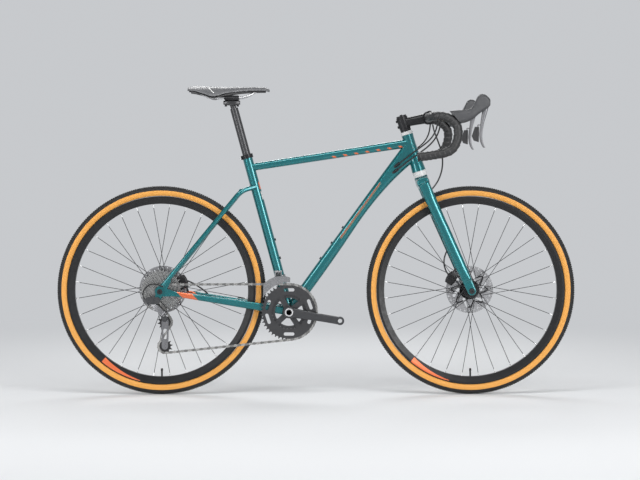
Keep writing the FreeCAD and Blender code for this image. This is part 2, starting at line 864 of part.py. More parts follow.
def rotor(axle, place):
    """A broad disc with slanted windows, the drilled holes of its braking band and its lockring."""
    low, high = place - rotor_thickness / 2, place + rotor_thickness / 2
    disc = across_ring(axle, low, high, rotor_radius, rotor_bore_radius)
    depth = ACROSS * (rotor_thickness + 2 * cut_overrun)
    first_inset, last_inset = rotor_hole_inset_shares
    openings = []
    step = 2 * math.pi / rotor_windows
    for i in range(rotor_windows):
        inner = polar(axle, i * step, rotor_window_inner, low - cut_overrun)
        outer = polar(axle, i * step + rotor_window_turn, rotor_window_outer, low - cut_overrun)
        openings.append(capsule(inner, outer, rotor_window_radius, rotor_window_radius, depth))
        for j in range(rotor_holes_per_window):
            share = (j + 0.5) / rotor_holes_per_window
            inset = first_inset + (last_inset - first_inset) * share
            hole = polar(axle, (i + share) * step, rotor_radius - rotor_band * inset, 0)
            openings.append(across_rod(hole, low - cut_overrun, high + cut_overrun, rotor_hole_radius))
    lockring = across_ring(axle, high, high + lockring_height, lockring_radius, rotor_bore_radius)
    return [disc.cut(Part.makeCompound(openings)), lockring]


def thru_axle(axle, half_spacing, wall, left_hub_end, right_hub_end):
    """The axle from dropout to dropout, with the hub's two end caps on it."""
    tip = half_spacing + wall
    shaft = across_rod(axle, -tip, tip, axle_radius)
    face = -tip - axle_head_length
    socket = across_rod(axle, face, -tip - axle_head_length / 3, axle_head_radius / 3)
    head = across_rod(axle, face, -tip, axle_head_radius).cut(socket)
    caps = [across_ring(axle, left_hub_end + side_clearance, half_spacing, end_cap_radius, axle_radius),
            across_ring(axle, -half_spacing, -right_hub_end - side_clearance, end_cap_radius, axle_radius)]
    return [fuse([shaft, head])] + caps


# Disc brakes

def caliper_axes(axle, angle):
    centre = polar(axle, angle, rotor_radius - caliper_inset, 0)
    outward = Vector(math.cos(angle), 0, math.sin(angle))
    along = Vector(-math.sin(angle), 0, math.cos(angle))
    return centre, outward, along


def block(centre, first, second, third, size):
    """A box with its centre and three half-turn axes given."""
    length, width, height = size
    corner = centre - first * (length / 2) - second * (width / 2) - third * (height / 2)
    far = corner + first * length
    return slab([corner, far, far + second * width, corner + second * width], third * height)


def caliper(axle, angle, place, carrier):
    """A rounded body that straddles the rotor, with a foot cut to the stay or leg that carries it."""
    centre, outward, along = caliper_axes(axle, angle)
    middle = at_side(centre, place)
    start = middle - along * (caliper_length / 2)
    body = loft([round_section(start + along * (caliper_length * share), ACROSS, outward,
                               caliper_width * size, caliper_height * size, caliper_round)
                 for share, size in zip(caliper_station_shares, caliper_size_shares)])
    slot_centre = middle - outward * cut_overrun
    slot = block(slot_centre, along, ACROSS, outward,
                 (pad_length + 2 * side_clearance, caliper_slot, caliper_height + 2 * cut_overrun))
    disc_room = across_rod(axle, place - rotor_thickness, place + rotor_thickness,
                           rotor_radius + side_clearance * 4)
    foot_place = place + caliper_width / 2 - caliper_foot_width / 2
    foot_centre = at_side(centre, foot_place) - along * (caliper_length / 2)
    foot = block(foot_centre, along, ACROSS, outward,
                 (caliper_foot_length, caliper_foot_width, caliper_height / 2))
    return fuse([body.cut(slot).cut(disc_room), foot]).cut(carrier)


def pad(axle, angle, place, side):
    centre, outward, along = caliper_axes(axle, angle)
    inner_face = rotor_thickness / 2 + pad_gap
    middle = at_side(centre, place + side * (inner_face + pad_thickness / 2))
    return block(middle, along, ACROSS, outward, (pad_length, pad_thickness, pad_height))


# Frame

def tube_sections(start, along, length, width, height, shares, inset):
    """Rounded sections along a tube, each one smaller by the inset all round."""
    stations, widths, heights, drops, round_share = shares
    up = along.cross(ACROSS)
    sections = []
    for station, wide, high, drop in zip(stations, widths, heights, drops):
        centre = start + along * (length * station) - up * (drop * height)
        size = (width * wide - 2 * inset, height * high - 2 * inset)
        sections.append(round_section(centre, ACROSS, up, size[0], size[1], round_share * min(size)))
    return sections


def top_tube_solid(inset):
    start = on_seat(top_tube_seat_place)
    end = on_steer(head_tube_start + top_tube_head_place)
    run = Vector(end - start)
    along = Vector(run).normalize()
    level = (0.0,) * len(top_tube_station_shares)
    shares = (top_tube_station_shares, top_tube_width_shares, top_tube_height_shares, level,
              top_tube_round_share)
    return loft(tube_sections(start, along, run.Length, top_tube_width, top_tube_height, shares, inset))


def down_tube_along():
    return Vector(math.cos(down_tube_angle), 0, math.sin(down_tube_angle))


def down_tube_solid(inset):
    shares = (down_tube_station_shares, down_tube_width_shares, down_tube_depth_shares, down_tube_drop_shares,
              down_tube_round_share)
    tube = loft(tube_sections(bracket, down_tube_along(), down_tube_length, down_tube_width, down_tube_depth,
                              shares, inset))
    reach = head_tube_length + head_tube_start
    low, high = on_steer(0), on_steer(reach + head_tube_length)
    ahead = [low, low + steer_forward * reach, high + steer_forward * reach, high]
    front = slab([point - ACROSS * down_tube_width for point in ahead], ACROSS * (2 * down_tube_width))
    return tube.cut(front)


def head_tube_solid():
    flare = head_tube_bottom_radius - head_tube_waist_radius
    radii = [head_tube_waist_radius + flare * share for share in head_tube_flare_shares]
    radii.append(head_tube_top_radius)
    return loft([circle_wire(on_steer(head_tube_start + head_tube_length * share), steer_direction, radius)
                 for share, radius in zip(head_tube_station_shares, radii)])


def seat_tube_solid():
    return rod(bracket, on_seat(seat_tube_length), seat_tube_radius)


def shell_solid():
    return across_rod(bracket, -shell_width / 2, shell_width / 2, shell_radius)


def bottle_bolt_seats():
    """Each bottle bolt's place on its tube's surface, and its direction into the tube."""
    along = down_tube_along()
    up = along.cross(ACROSS)
    rise = up * (down_tube_depth * down_tube_depth_shares[0] / 2)
    seats = [(bracket + along * place + rise, up * -1) for place in down_tube_bolt_places]
    seats += [(on_seat(place) + seat_forward * seat_tube_radius, seat_forward * -1)
              for place in seat_tube_bolt_places]
    return seats


def main_frame():
    """Head, top, down and seat tubes welded to the bottom bracket shell, and bored."""
    body = fuse([head_tube_solid(), down_tube_solid(0), top_tube_solid(0), seat_tube_solid(), shell_solid()])
    base = on_steer(head_tube_start - cut_overrun)
    knee = on_steer(head_tube_start + head_tube_taper)
    head_bore = fuse([rod(base, knee, (head_tube_bore_bottom + head_tube_bore_top) / 2),
                      rod(knee, on_steer(head_tube_end + cut_overrun), head_tube_bore_top),
                      rod(base, on_steer(head_tube_start + headset_bearing_height), head_tube_bore_bottom)])
    seat_bore = rod(on_seat(seat_tube_length - seat_tube_bore_depth), on_seat(seat_tube_length + cut_overrun),
                    seat_post_radius + running_clearance)
    shell_bore = across_rod(bracket, -shell_width, shell_width, shell_bore_radius)
    body = body.cut(down_tube_solid(tube_wall)).cut(top_tube_solid(tube_wall))
    body = body.cut(head_bore).cut(seat_bore).cut(shell_bore)
    holes = [rod(seat - way * cut_overrun, seat + way * bottle_bolt_depth,
                 bottle_bolt_radius + fixed_clearance) for seat, way in bottle_bolt_seats()]
    return body.cut(Part.makeCompound(holes))


def chainstay():
    """The right chainstay, swelling from the dropout to the bottom bracket shell."""
    run = Vector(rear_axle - bracket)
    along = Vector(run).normalize()
    up = ACROSS.cross(along)
    sections = []
    for i, share in enumerate(chainstay_station_shares):
        centre = bracket + run * share - ACROSS * (chainstay_spread * chainstay_spread_shares[i])
        width = chainstay_width * chainstay_width_shares[i]
        height = chainstay_height * chainstay_height_shares[i]
        corner = chainstay_round_share * min(width, height)
        sections.append(round_section(centre, ACROSS, up, width, height, corner))
    return loft(sections)


def seatstay():
    """The right seatstay: straight up from the dropout, then bent to meet the seat tube low."""
    foot = rear_axle + Vector(seatstay_foot_forward, -rear_half_spacing - dropout_thickness / 2,
                              seatstay_foot_height)
    bend = rear_axle + Vector(seatstay_bend_forward, -seatstay_bend_spread, seatstay_bend_height)
    mid = foot + (bend - foot) * seatstay_mid_share
    mid = at_side(mid, -seatstay_mid_spread)
    top = on_seat(seatstay_top_place) - ACROSS * seatstay_top_spread
    return bent_rod([foot, mid, bend, top], seatstay_radius)


def dropout():
    """The right dropout plate, round the axle and out along both stays."""
    inner = -rear_half_spacing
    centre = at_side(rear_axle, inner)
    to_shell = Vector(bracket - rear_axle).normalize()
    to_seat = Vector(seatstay_bend_forward, 0, seatstay_bend_height).normalize()
    depth = ACROSS * -dropout_thickness
    low_arm = capsule(centre, centre + to_shell * dropout_length, dropout_radius,
                      chainstay_height * chainstay_height_shares[-1] / 2, depth)
    high_arm = capsule(centre, centre + to_seat * dropout_length, dropout_radius, seatstay_radius, depth)
    return fuse([low_arm, high_arm])


def rear_triangle():
    """Both pairs of stays with their bridges and dropouts, and the derailleur hanger beside them."""
    sides = []
    for piece in (chainstay(), seatstay(), dropout()):
        sides += both_sides(piece)
    bend = rear_axle + Vector(seatstay_bend_forward, 0, seatstay_bend_height)
    seat_bridge = across_rod(bend, -seatstay_bend_spread, seatstay_bend_spread, bridge_radius)
    gap = tyre_radius + chainstay_bridge_gap
    way = Vector(bracket - rear_axle).normalize()
    low_bridge_centre = rear_axle + way * gap
    low_bridge = across_rod(low_bridge_centre, -chainstay_spread / 2, chainstay_spread / 2, bridge_radius)
    body = fuse(sides + [seat_bridge, low_bridge])
    body = body.cut(fuse([seat_tube_solid(), shell_solid()]))
    half = shell_width / 2
    cup_room = across_rod(bracket, half, half + cup_length, cup_radius + side_clearance)
    body = body.cut(Part.makeCompound(both_sides(cup_room)))
    axle_hole = across_rod(rear_axle, -rear_spacing, rear_spacing, axle_radius + fixed_clearance)
    return [body.cut(axle_hole), hanger()]


def hanger():
    outer = -rear_half_spacing - dropout_thickness
    depth = ACROSS * -hanger_thickness
    plate = capsule(at_side(rear_axle, outer), at_side(hanger_bolt, outer), hanger_radius,
                    hanger_end_radius, depth)
    for centre, radius in ((rear_axle, axle_radius), (hanger_bolt, hanger_bolt_radius)):
        hole = across_rod(centre, outer + cut_overrun, outer - hanger_thickness - cut_overrun,
                          radius + fixed_clearance)
        plate = plate.cut(hole)
    return plate


def seat_clamp():
    """A split collar on the seat tube's end with its pinch bolt at the back."""
    top = on_seat(seat_tube_length + seat_clamp_lip)
    low = on_seat(seat_tube_length + seat_clamp_lip - seat_clamp_height)
    collar = pipe(low, top, seat_tube_radius + seat_clamp_wall, seat_tube_radius + fixed_clearance)
    back = seat_forward * -1
    middle = (low + top) * 0.5 + back * (seat_tube_radius + seat_clamp_wall)
    ears = block(middle, back, ACROSS, seat_direction,
                 (seat_clamp_ear, seat_clamp_ear * 2, seat_clamp_height))
    lip = pipe(on_seat(seat_tube_length), top, seat_tube_radius + seat_clamp_wall,
               seat_post_radius + running_clearance)
    tube_room = rod(low, on_seat(seat_tube_length), seat_tube_radius + fixed_clearance)
    post_room = rod(low, top + seat_direction * cut_overrun, seat_post_radius + running_clearance)
    slot = block(middle, back, ACROSS, seat_direction,
                 (seat_clamp_ear * 2, seat_clamp_slot, seat_clamp_height + 2 * cut_overrun))
    bolt_centre = middle + back * (seat_clamp_ear / 6)
    body = fuse([collar, lip, ears]).cut(tube_room).cut(post_room).cut(slot)
    bolt_hole = rod(bolt_centre - ACROSS * seat_clamp_ear * 2, bolt_centre + ACROSS * seat_clamp_ear * 2,
                    seat_clamp_bolt_radius + fixed_clearance)
    screw = bolt(bolt_centre - ACROSS * seat_clamp_ear, ACROSS, seat_clamp_bolt_radius, seat_clamp_ear * 2,
                 seat_clamp_bolt_head, seat_clamp_bolt_head)
    return [body.cut(bolt_hole), screw]


def headset_cups():
    """The lower and upper cups, pressed against the head tube's ends."""
    lower = pipe(on_steer(crown_seat + crown_race_height + side_clearance), on_steer(head_tube_start),
                 headset_lower_radius, steerer_base_radius + running_clearance)
    upper = turned(steer_base, steer_direction,
                   [(head_tube_end, steerer_radius + running_clearance),
                    (head_tube_end, headset_upper_radius),
                    (upper_cup_end - headset_upper_height / 3, headset_upper_radius),
                    (upper_cup_end, spacer_radius), (upper_cup_end, steerer_radius + running_clearance)])
    return [lower, upper]


def headset_bearings():
    lower = pipe(on_steer(head_tube_start), on_steer(head_tube_start + headset_bearing_height),
                 head_tube_bore_bottom, steerer_base_radius + running_clearance)
    upper = pipe(on_steer(head_tube_end - headset_bearing_height), on_steer(head_tube_end),
                 head_tube_bore_top, steerer_radius + running_clearance)
    return [lower, upper]


def bracket_cups():
    """External bearing cups, each with its sleeve in the shell."""
    half = shell_width / 2
    outer = turned(bracket, ACROSS, [
        (half, spindle_radius + running_clearance), (half, cup_radius), (half + cup_length, cup_radius),
        (half + cup_length, spindle_radius + running_clearance)])
    sleeve = across_ring(bracket, half - cup_sleeve_length, half, shell_bore_radius - fixed_clearance,
                         spindle_radius + bb_bearing_width / 2)
    return both_sides(fuse([outer, sleeve]))


def frame_fittings():
    """Bottle bolts, and the ports where the housings enter the down tube."""
    pieces = []
    for seat, way in bottle_bolt_seats():
        pieces.append(bolt(seat, way, bottle_bolt_radius, bottle_bolt_depth - cut_overrun, bottle_bolt_head,
                           bottle_bolt_height))
    hull = down_tube_solid(0)
    for route, radius in frame_routes():
        end = Vector(*route[-1])
        way = Vector(end - Vector(*route[-2])).normalize()
        collar = rod(end - way * port_reach, end, port_radius).cut(hull)
        pieces.append(collar.cut(route_tube(route, radius)))
    return pieces


# Seat

def seat_post():
    """The post with its forged head under the saddle rails."""
    low = bracket + seat_direction * (seat_post_top - seat_post_length)
    tube = pipe(low, post_top, seat_post_radius, seat_post_radius - seat_post_wall)
    head_centre = Vector(rail_place, 0, rail_height - rail_radius - clamp_plate - post_head_height / 2)
    start = head_centre - FORWARD * (post_head_length / 2)
    head = loft([round_section(start + FORWARD * (post_head_length * share), ACROSS, UPRIGHT,
                               post_head_width * size, post_head_height * size, post_head_round)
                 for share, size in zip(post_head_station_shares, post_head_size_shares)])
    neck = rod(post_top - seat_direction * seat_post_radius, head_centre, seat_post_radius * post_neck_share)
    plug = rod(post_top - seat_direction * seat_post_radius, post_top, seat_post_radius)
    body = fuse([tube, head, neck, plug])
    tools = [Part.makeCompound(saddle_clamp_plates()[:1])]
    for seat in clamp_bolt_seats():
        tools.append(rod(seat, seat + UPRIGHT * clamp_bolt_length, clamp_bolt_radius + fixed_clearance))
        tools.append(rod(seat - UPRIGHT * clamp_bolt_length, seat, clamp_bolt_head + fixed_clearance))
    return body.cut(Part.makeCompound(tools))


def clamp_bolt_seats():
    height = rail_height - rail_radius - clamp_plate - post_head_height
    return [Vector(rail_place + side * clamp_bolt_reach, 0, height) for side in (-1, 1)]


def saddle_clamp_plates():
    """The lower cradle and the upper plate, grooved for the rails."""
    plates = []
    rails = Part.makeCompound(saddle_rails())
    reach = rail_radius + clamp_plate
    for low in (rail_height - reach, rail_height + side_clearance):
        centre = Vector(rail_place, 0, low + reach / 2 - side_clearance / 4)
        plate = loft([round_section(centre + ACROSS * (side * clamp_width / 2), FORWARD, UPRIGHT,
                                    clamp_length, reach - side_clearance, post_head_round)
                      for side in (-1, 1)])
        grooves = [rod(Vector(rail_place - clamp_length, side * rail_spread, rail_height),
                       Vector(rail_place + clamp_length, side * rail_spread, rail_height),
                       rail_radius + fixed_clearance) for side in (-1, 1)]
        plates.append(plate.cut(Part.makeCompound(grooves)).cut(rails))
    return plates


def saddle_clamp():
    """Both plates, drilled, with the two bolts that pull them together."""
    bolts = []
    for seat in clamp_bolt_seats():
        bolts.append(bolt(seat, UPRIGHT, clamp_bolt_radius, clamp_bolt_length, clamp_bolt_head,
                          clamp_bolt_head))
    holes = Part.makeCompound([rod(seat - UPRIGHT * clamp_bolt_length, seat + UPRIGHT * 2 * clamp_bolt_length,
                                   clamp_bolt_radius + fixed_clearance) for seat in clamp_bolt_seats()])
    return [plate.cut(holes) for plate in saddle_clamp_plates()] + bolts


def saddle_section(i, width_share, drops, pads):
    """One crescent across the saddle: crown above, drooping sides, and its underside."""
    place = saddle_rear + saddle_length * saddle_station_shares[i]
    half = saddle_width * saddle_width_shares[i] * width_share / 2
    crown_drop, edge_drop = drops
    crown_pad, edge_pad = pads
    crown = saddle_top - saddle_crown * saddle_crown_drop_shares[i] - crown_drop
    edge = saddle_top - saddle_crown * saddle_edge_drop_shares[i] - edge_drop
    left, right = Vector(place, half, edge), Vector(place, -half, edge)
    left_low, right_low = left - UPRIGHT * edge_pad, right - UPRIGHT * edge_pad
    return Part.Wire([
        Part.Arc(left, Vector(place, 0, crown), right).toShape(),
        Part.LineSegment(right, right_low).toShape(),
        Part.Arc(right_low, Vector(place, 0, crown - crown_pad), left_low).toShape(),
        Part.LineSegment(left_low, left).toShape()])


def saddle_cover():
    return loft([saddle_section(i, 1, (0, 0), (saddle_pad, saddle_edge_pad))
                 for i in range(len(saddle_station_shares))])


def saddle_shell():
    """The carrying shell under the padding, with sockets for the rails."""
    drops = (saddle_pad + saddle_shell_gap, saddle_edge_pad + saddle_shell_gap)
    pads = (saddle_shell_thickness, saddle_shell_thickness)
    stations = range(1, len(saddle_station_shares) - 1)
    shell = loft([saddle_section(i, saddle_shell_width_share, drops, pads) for i in stations])
    return shell.cut(Part.makeCompound(saddle_rails()))


def saddle_rails():
    """Two bent rods, spread at the back and drawn together under the nose."""
    rails = []
    shell_under = saddle_top - saddle_crown * rail_end_drop_share - saddle_pad - saddle_shell_thickness
    under = shell_under - rail_radius
    rear, front = [saddle_rear + saddle_length * share for share in rail_end_shares]
    rear_spread, front_spread = [rail_spread * share for share in rail_end_spread_shares]
    back_run, front_run = [clamp_length * share for share in rail_straight_shares]
    for side in (-1, 1):
        points = [Vector(rear, side * rear_spread, under),
                  Vector(rail_place - back_run, side * rail_spread, rail_height),
                  Vector(rail_place + front_run, side * rail_spread, rail_height),
                  Vector(front, side * front_spread, under)]
        rails.append(bent_rod(points, rail_radius))
    return rails


# Fork and cockpit

def leg_line(share):
    top = on_steer(leg_top_place)
    return top + (front_axle - top) * share


def fork_leg():
    """The right leg: a straight blade that narrows to the tip."""
    sections = []
    run = Vector(front_axle - on_steer(leg_top_place)).normalize()
    fore = ACROSS.cross(run) * -1
    for i, share in enumerate(leg_station_shares):
        centre = leg_line(share) - ACROSS * (leg_spread * leg_spread_shares[i])
        width = leg_width * leg_width_shares[i]
        depth = leg_depth * leg_depth_shares[i]
        sections.append(round_section(centre, ACROSS, fore, width, depth, leg_round_share * width))
    tip_centre = at_side(front_axle, -front_half_spacing)
    tip_top = at_side(front_axle - run * fork_tip_height, -front_half_spacing)
    tip_top_radius = leg_depth * leg_depth_shares[-1] / 2 * fork_tip_depth_share
    tip = capsule(tip_centre, tip_top, fork_tip_radius, tip_top_radius, ACROSS * -fork_tip_thickness)
    return fuse([loft(sections), tip])


def fork():
    """Steerer, arched crown, two legs and their tips in one piece."""
    crown_mid = on_steer(crown_seat - crown_height / 2)
    crown = loft([round_section(crown_mid + ACROSS * (crown_half_width * share), steer_forward,
                                steer_direction, crown_depth * size, crown_height * size, crown_round)
                  for share, size in zip(crown_station_shares, crown_size_shares)])
    race = rod(on_steer(crown_seat - crown_height / 2), on_steer(crown_seat + crown_race_height),
               headset_lower_radius)
    bearing_top = on_steer(head_tube_start + headset_bearing_height)
    knee = on_steer(head_tube_start + head_tube_taper)
    lower_steerer = rod(on_steer(crown_seat), bearing_top, steerer_base_radius)
    taper = loft([circle_wire(bearing_top, steer_direction, steerer_base_radius - running_clearance),
                  circle_wire(knee, steer_direction, steerer_radius)])
    upper_steerer = rod(knee, on_steer(stem_clamp_end), steerer_radius)
    body = fuse([crown, race, lower_steerer, taper, upper_steerer] + both_sides(fork_leg()))
    room = across_rod(front_axle, -tyre_gap_half, tyre_gap_half, tyre_radius + tyre_clearance)
    axle_hole = across_rod(front_axle, -front_spacing, front_spacing, axle_radius + fixed_clearance)
    return body.cut(room).cut(axle_hole)


def headset_spacers():
    """Spacer below the stem, and the cap with its bolt above it."""
    ring = pipe(on_steer(upper_cup_end + side_clearance), on_steer(spacer_end), spacer_radius, steerer_radius)
    cap_base = on_steer(stem_clamp_end)
    cap = rod(cap_base, cap_base + steer_direction * top_cap_height, top_cap_radius)
    screw = rod(cap_base + steer_direction * top_cap_height,
                cap_base + steer_direction * (top_cap_height + top_cap_bolt_height), top_cap_bolt_radius)
    return [ring, cap, screw]


def bar_clamp_solid():
    half = bar_clamp_width / 2
    return across_rod(bar_centre, -half, half, bar_clamp_radius + bar_clamp_wall)


def front_of_bar(gap):
    """Everything ahead of the plane that splits the bar clamp."""
    size = stem_length * 2
    centre = bar_centre + stem_direction * (size / 2 + gap)
    return block(centre, stem_direction, ACROSS, stem_up, (size, size, size))


def stem():
    """A forged arm between the steerer clamp and the rear half of the bar clamp."""
    clamp = rod(on_steer(spacer_end), on_steer(stem_clamp_end), stem_clamp_radius)
    middle = stem_root + stem_direction * (stem_length / 2)
    arm = loft([round_section(centre, ACROSS, stem_up, width, depth, stem_round_share * depth)
                for centre, width, depth in ((stem_root, stem_width, stem_depth),
                                             (middle, stem_width, stem_depth),
                                             (bar_centre, stem_front_width, stem_front_depth))])
    back_half = bar_clamp_solid().cut(front_of_bar(-faceplate_gap / 2))
    steerer_hole = rod(on_steer(spacer_end - stem_clamp_height), on_steer(stem_clamp_end + stem_clamp_height),
                       steerer_radius + fixed_clearance)
    bar_hole = across_rod(bar_centre, -stem_length, stem_length, bar_clamp_radius + fixed_clearance)
    keep_out = [steerer_hole, bar_hole, front_of_bar(-faceplate_gap / 2)]
    keep_out += [rod(seat - stem_direction * cut_overrun, seat - stem_direction * stem_bolt_length * 2,
                     stem_bolt_radius + fixed_clearance) for seat in faceplate_bolt_seats()]
    trim = 2 * stem_clamp_radius
    above = rod(on_steer(stem_clamp_end), on_steer(stem_clamp_end + stem_clamp_height), trim)
    below = rod(on_steer(spacer_end - stem_clamp_height), on_steer(spacer_end), trim)
    body = fuse([clamp, arm, back_half]).cut(above).cut(below)
    for room in keep_out:
        body = body.cut(room)
    return [body] + steerer_bolts()


def steerer_bolts():
    """The two pinch bolts' heads at the back of the stem."""
    bolts = []
    for share in steerer_bolt_shares:
        centre = on_steer(spacer_end + stem_clamp_height * share) - steer_forward * stem_clamp_radius
        bolts.append(rod(centre, centre - steer_forward * stem_bolt_head, stem_bolt_head))
    return bolts


def faceplate_bolt_seats():
    face = bar_clamp_radius + bar_clamp_wall
    seats = []
    for side in (-1, 1):
        for height in (-1, 1):
            seats.append(bar_centre + stem_direction * (face * lug_reach_share)
                         + ACROSS * (side * stem_bolt_spacing / 2)
                         + stem_up * (height * (bar_clamp_radius + stem_bolt_head * lug_rise_share)))
    return seats


def stem_faceplate():
    """The front half of the bar clamp with four lugs and four bolts."""
    plate = bar_clamp_solid().common(front_of_bar(faceplate_gap / 2))
    lugs = []
    bolts = []
    holes = []
    for seat in faceplate_bolt_seats():
        lugs.append(rod(bar_centre + stem_direction * (faceplate_gap / 2)
                        + Vector(seat - bar_centre).projectToPlane(ORIGIN, stem_direction),
                        seat, stem_bolt_head))
        bolts.append(bolt(seat, stem_direction * -1, stem_bolt_radius, stem_bolt_length, stem_bolt_head,
                          stem_bolt_head / 2))
        holes.append(rod(seat + stem_direction * cut_overrun, seat - stem_direction * stem_bolt_length * 2,
                         stem_bolt_radius + fixed_clearance))
    bar_hole = across_rod(bar_centre, -stem_length, stem_length, bar_clamp_radius + fixed_clearance)
    body = fuse([plate] + lugs).cut(bar_hole).cut(Part.makeCompound(holes))
    return [body] + bolts


def bar_points(start):
    """The right half of the bar's centre line, from the tops round the hook to the end."""
    corner_in = Vector(bar_centre.x, -bar_hood_spread * bar_top_corner_share, bar_centre.z)
    corner_out = Vector(bar_centre.x + bar_reach * bar_ramp_share, -bar_hood_spread, bar_centre.z)
    points = [Vector(bar_centre.x, -start, bar_centre.z), corner_in, corner_out]
    steps = len(bar_hook_reach_shares)
    for i in range(steps):
        spread = bar_hood_spread + (bar_end_spread - bar_hood_spread) * bar_hook_drop_shares[i]
        points.append(Vector(bar_centre.x + bar_reach * bar_hook_reach_shares[i], -spread,
                             bar_centre.z - bar_drop * bar_hook_drop_shares[i]))
    return points


def bar_half(start, outer_radius, inner_radius):
    points = bar_points(start)
    return bent_rod(points, outer_radius).cut(bent_rod(points, inner_radius))


def handlebar():
    """The bar in two halves joined at the thick clamp area, with an end plug on each side."""
    taper_end = bar_centre_half + bar_taper
    centre = turned(bar_centre, ACROSS, [
        (-taper_end, bar_radius - bar_wall), (-taper_end, bar_radius), (-bar_centre_half, bar_clamp_radius),
        (bar_centre_half, bar_clamp_radius), (taper_end, bar_radius), (taper_end, bar_radius - bar_wall)])
    half = bar_half(taper_end, bar_radius, bar_radius - bar_wall)
    points = bar_points(taper_end)
    tail = Vector(points[-1] - points[-2]).normalize()
    plug = rod(points[-1], points[-1] + tail * plug_length, plug_radius)
    return [fuse([centre] + both_sides(half))] + both_sides(plug)


def bar_tape():
    tape = bar_half(tape_start + bar_taper, bar_radius + tape_thickness, bar_radius + fixed_clearance)
    return both_sides(tape)


def hood_sections(inset, first, last):
    """Sections along the lever hood, leaning back where it meets the bar, smaller by the inset all round."""
    sections = []
    for i in range(first, last):
        place = bar_centre.x + hood_start + hood_length * hood_station_shares[i]
        low = bar_centre.z + hood_base + hood_rise * hood_low_shares[i] + inset
        high = bar_centre.z + hood_base + hood_rise * hood_high_shares[i] - inset
        width = hood_width * hood_width_shares[i] - 2 * inset
        centre = Vector(place, -bar_hood_spread, (low + high) / 2)
        up = Vector(-math.sin(hood_tilts[i]), 0, math.cos(hood_tilts[i]))
        height = (high - low) / up.z
        corner = hood_round_share * min(width, height)
        sections.append(round_section(centre, ACROSS, up, width, height, corner))
    return sections


def lever_room(margin):
    """The slot that the brake lever's head and blade swing in."""
    width = lever_width + 2 * margin
    centre = at_side(lever_pivot, -bar_hood_spread)
    reach = lever_head_radius + margin
    start = centre - ACROSS * (width / 2)
    hub = rod(start, start + ACROSS * width, reach)
    ahead = block(centre + Vector(reach * 2, 0, -reach), FORWARD, ACROSS, UPRIGHT,
                  (reach * 4, width, reach * 4))
    below = block(centre - Vector(lever_room_back / 2, 0, lever_room_drop / 2), FORWARD, ACROSS, UPRIGHT,
                  (lever_room_back, width, lever_room_drop))
    return fuse([hub, ahead, below])


def bar_room():
    return bent_rod(bar_points(tape_start + bar_taper), bar_radius + tape_thickness + fixed_clearance)


def lever_hood():
    """A rubber skin over the lever bracket, open at the front and where it meets the bar."""
    count = len(hood_station_shares)
    skin = loft(hood_sections(0, 0, count)).cut(bar_room()).cut(lever_room(side_clearance))
    return skin.cut(bracket_core())


def bracket_core():
    count = len(hood_station_shares)
    return loft(hood_sections(hood_wall, 0, count))


def lever_bracket():
    """The lever's body under the hood, slotted for the lever, with its pivot pin."""
    body = bracket_core().cut(bar_room()).cut(lever_room(side_clearance))
    half = lever_width / 2 + side_clearance + hood_wall
    pin = rod(lever_pivot - ACROSS * half, lever_pivot + ACROSS * half, lever_pin_radius)
    return [body.cut(pin), pin]


def brake_lever():
    """A curved blade hung on the pivot, kicked forward at the tip."""
    sections = []
    for i, share in enumerate(lever_station_shares):
        fall = UPRIGHT * (lever_length * share)
        centre = lever_pivot - fall - FORWARD * (lever_back * lever_back_shares[i])
        depth = lever_depth * lever_depth_shares[i]
        width = lever_width * lever_width_shares[i]
        sections.append(round_section(centre, FORWARD, ACROSS, depth, width, lever_round_share * depth))
    half = lever_head_width / 2
    head = rod(lever_pivot - ACROSS * half, lever_pivot + ACROSS * half, lever_head_radius)
    hole = rod(lever_pivot - ACROSS * lever_width, lever_pivot + ACROSS * lever_width,
               lever_pin_radius + running_clearance)
    blade = fuse([loft(sections), head]).cut(hole)
    pin_low, pin_high = paddle_pin_line()
    lug = rod(pin_low, pin_high, paddle_pin_radius)
    arm = rod(pin_high, Vector(lever_pivot.x - lever_back, pin_high.y, pin_high.z), paddle_pin_radius)
    return fuse([blade, lug, arm])


def paddle_pin_line():
    """The shift paddle's pivot pin, just behind the blade's rearmost face."""
    place = lever_pivot.x - lever_back - lever_depth / 2 - paddle_gap - paddle_pin_radius * 2
    low = Vector(place, lever_pivot.y, lever_pivot.z - paddle_top - paddle_depth)
    return low, low + UPRIGHT * (paddle_depth + paddle_pin_radius * 3)


def shift_lever():
    """A thin paddle behind the blade, on its own upright pin."""
    pin_low, pin_high = paddle_pin_line()
    top = lever_pivot.z - paddle_top
    bottom = lever_pivot.z - paddle_bottom
    start = lever_pivot.y - paddle_thickness / 2
    front = pin_low.x + paddle_pin_radius * 2
    rear = pin_low.x - paddle_depth
    points = [Vector(front, start, top), Vector(front - paddle_gap, start, bottom),
              Vector(rear + paddle_depth / 3, start, bottom + paddle_depth / 4),
              Vector(rear, start, bottom + paddle_depth), Vector(rear + paddle_depth / 2, start, top)]
    plate = slab(points, ACROSS * paddle_thickness)
    barrel = rod(Vector(pin_low.x, pin_low.y, bottom + paddle_depth), Vector(pin_low.x, pin_low.y, top),
                 paddle_pin_radius * 2)
    hole = rod(pin_low - UPRIGHT * side_clearance, pin_high + UPRIGHT * cut_overrun,
               paddle_pin_radius + running_clearance)
    return fuse([plate, barrel]).cut(hole)


# Chain path and sprockets

def pitch_radius(teeth):
    return pitch / (2 * math.sin(math.pi / teeth))


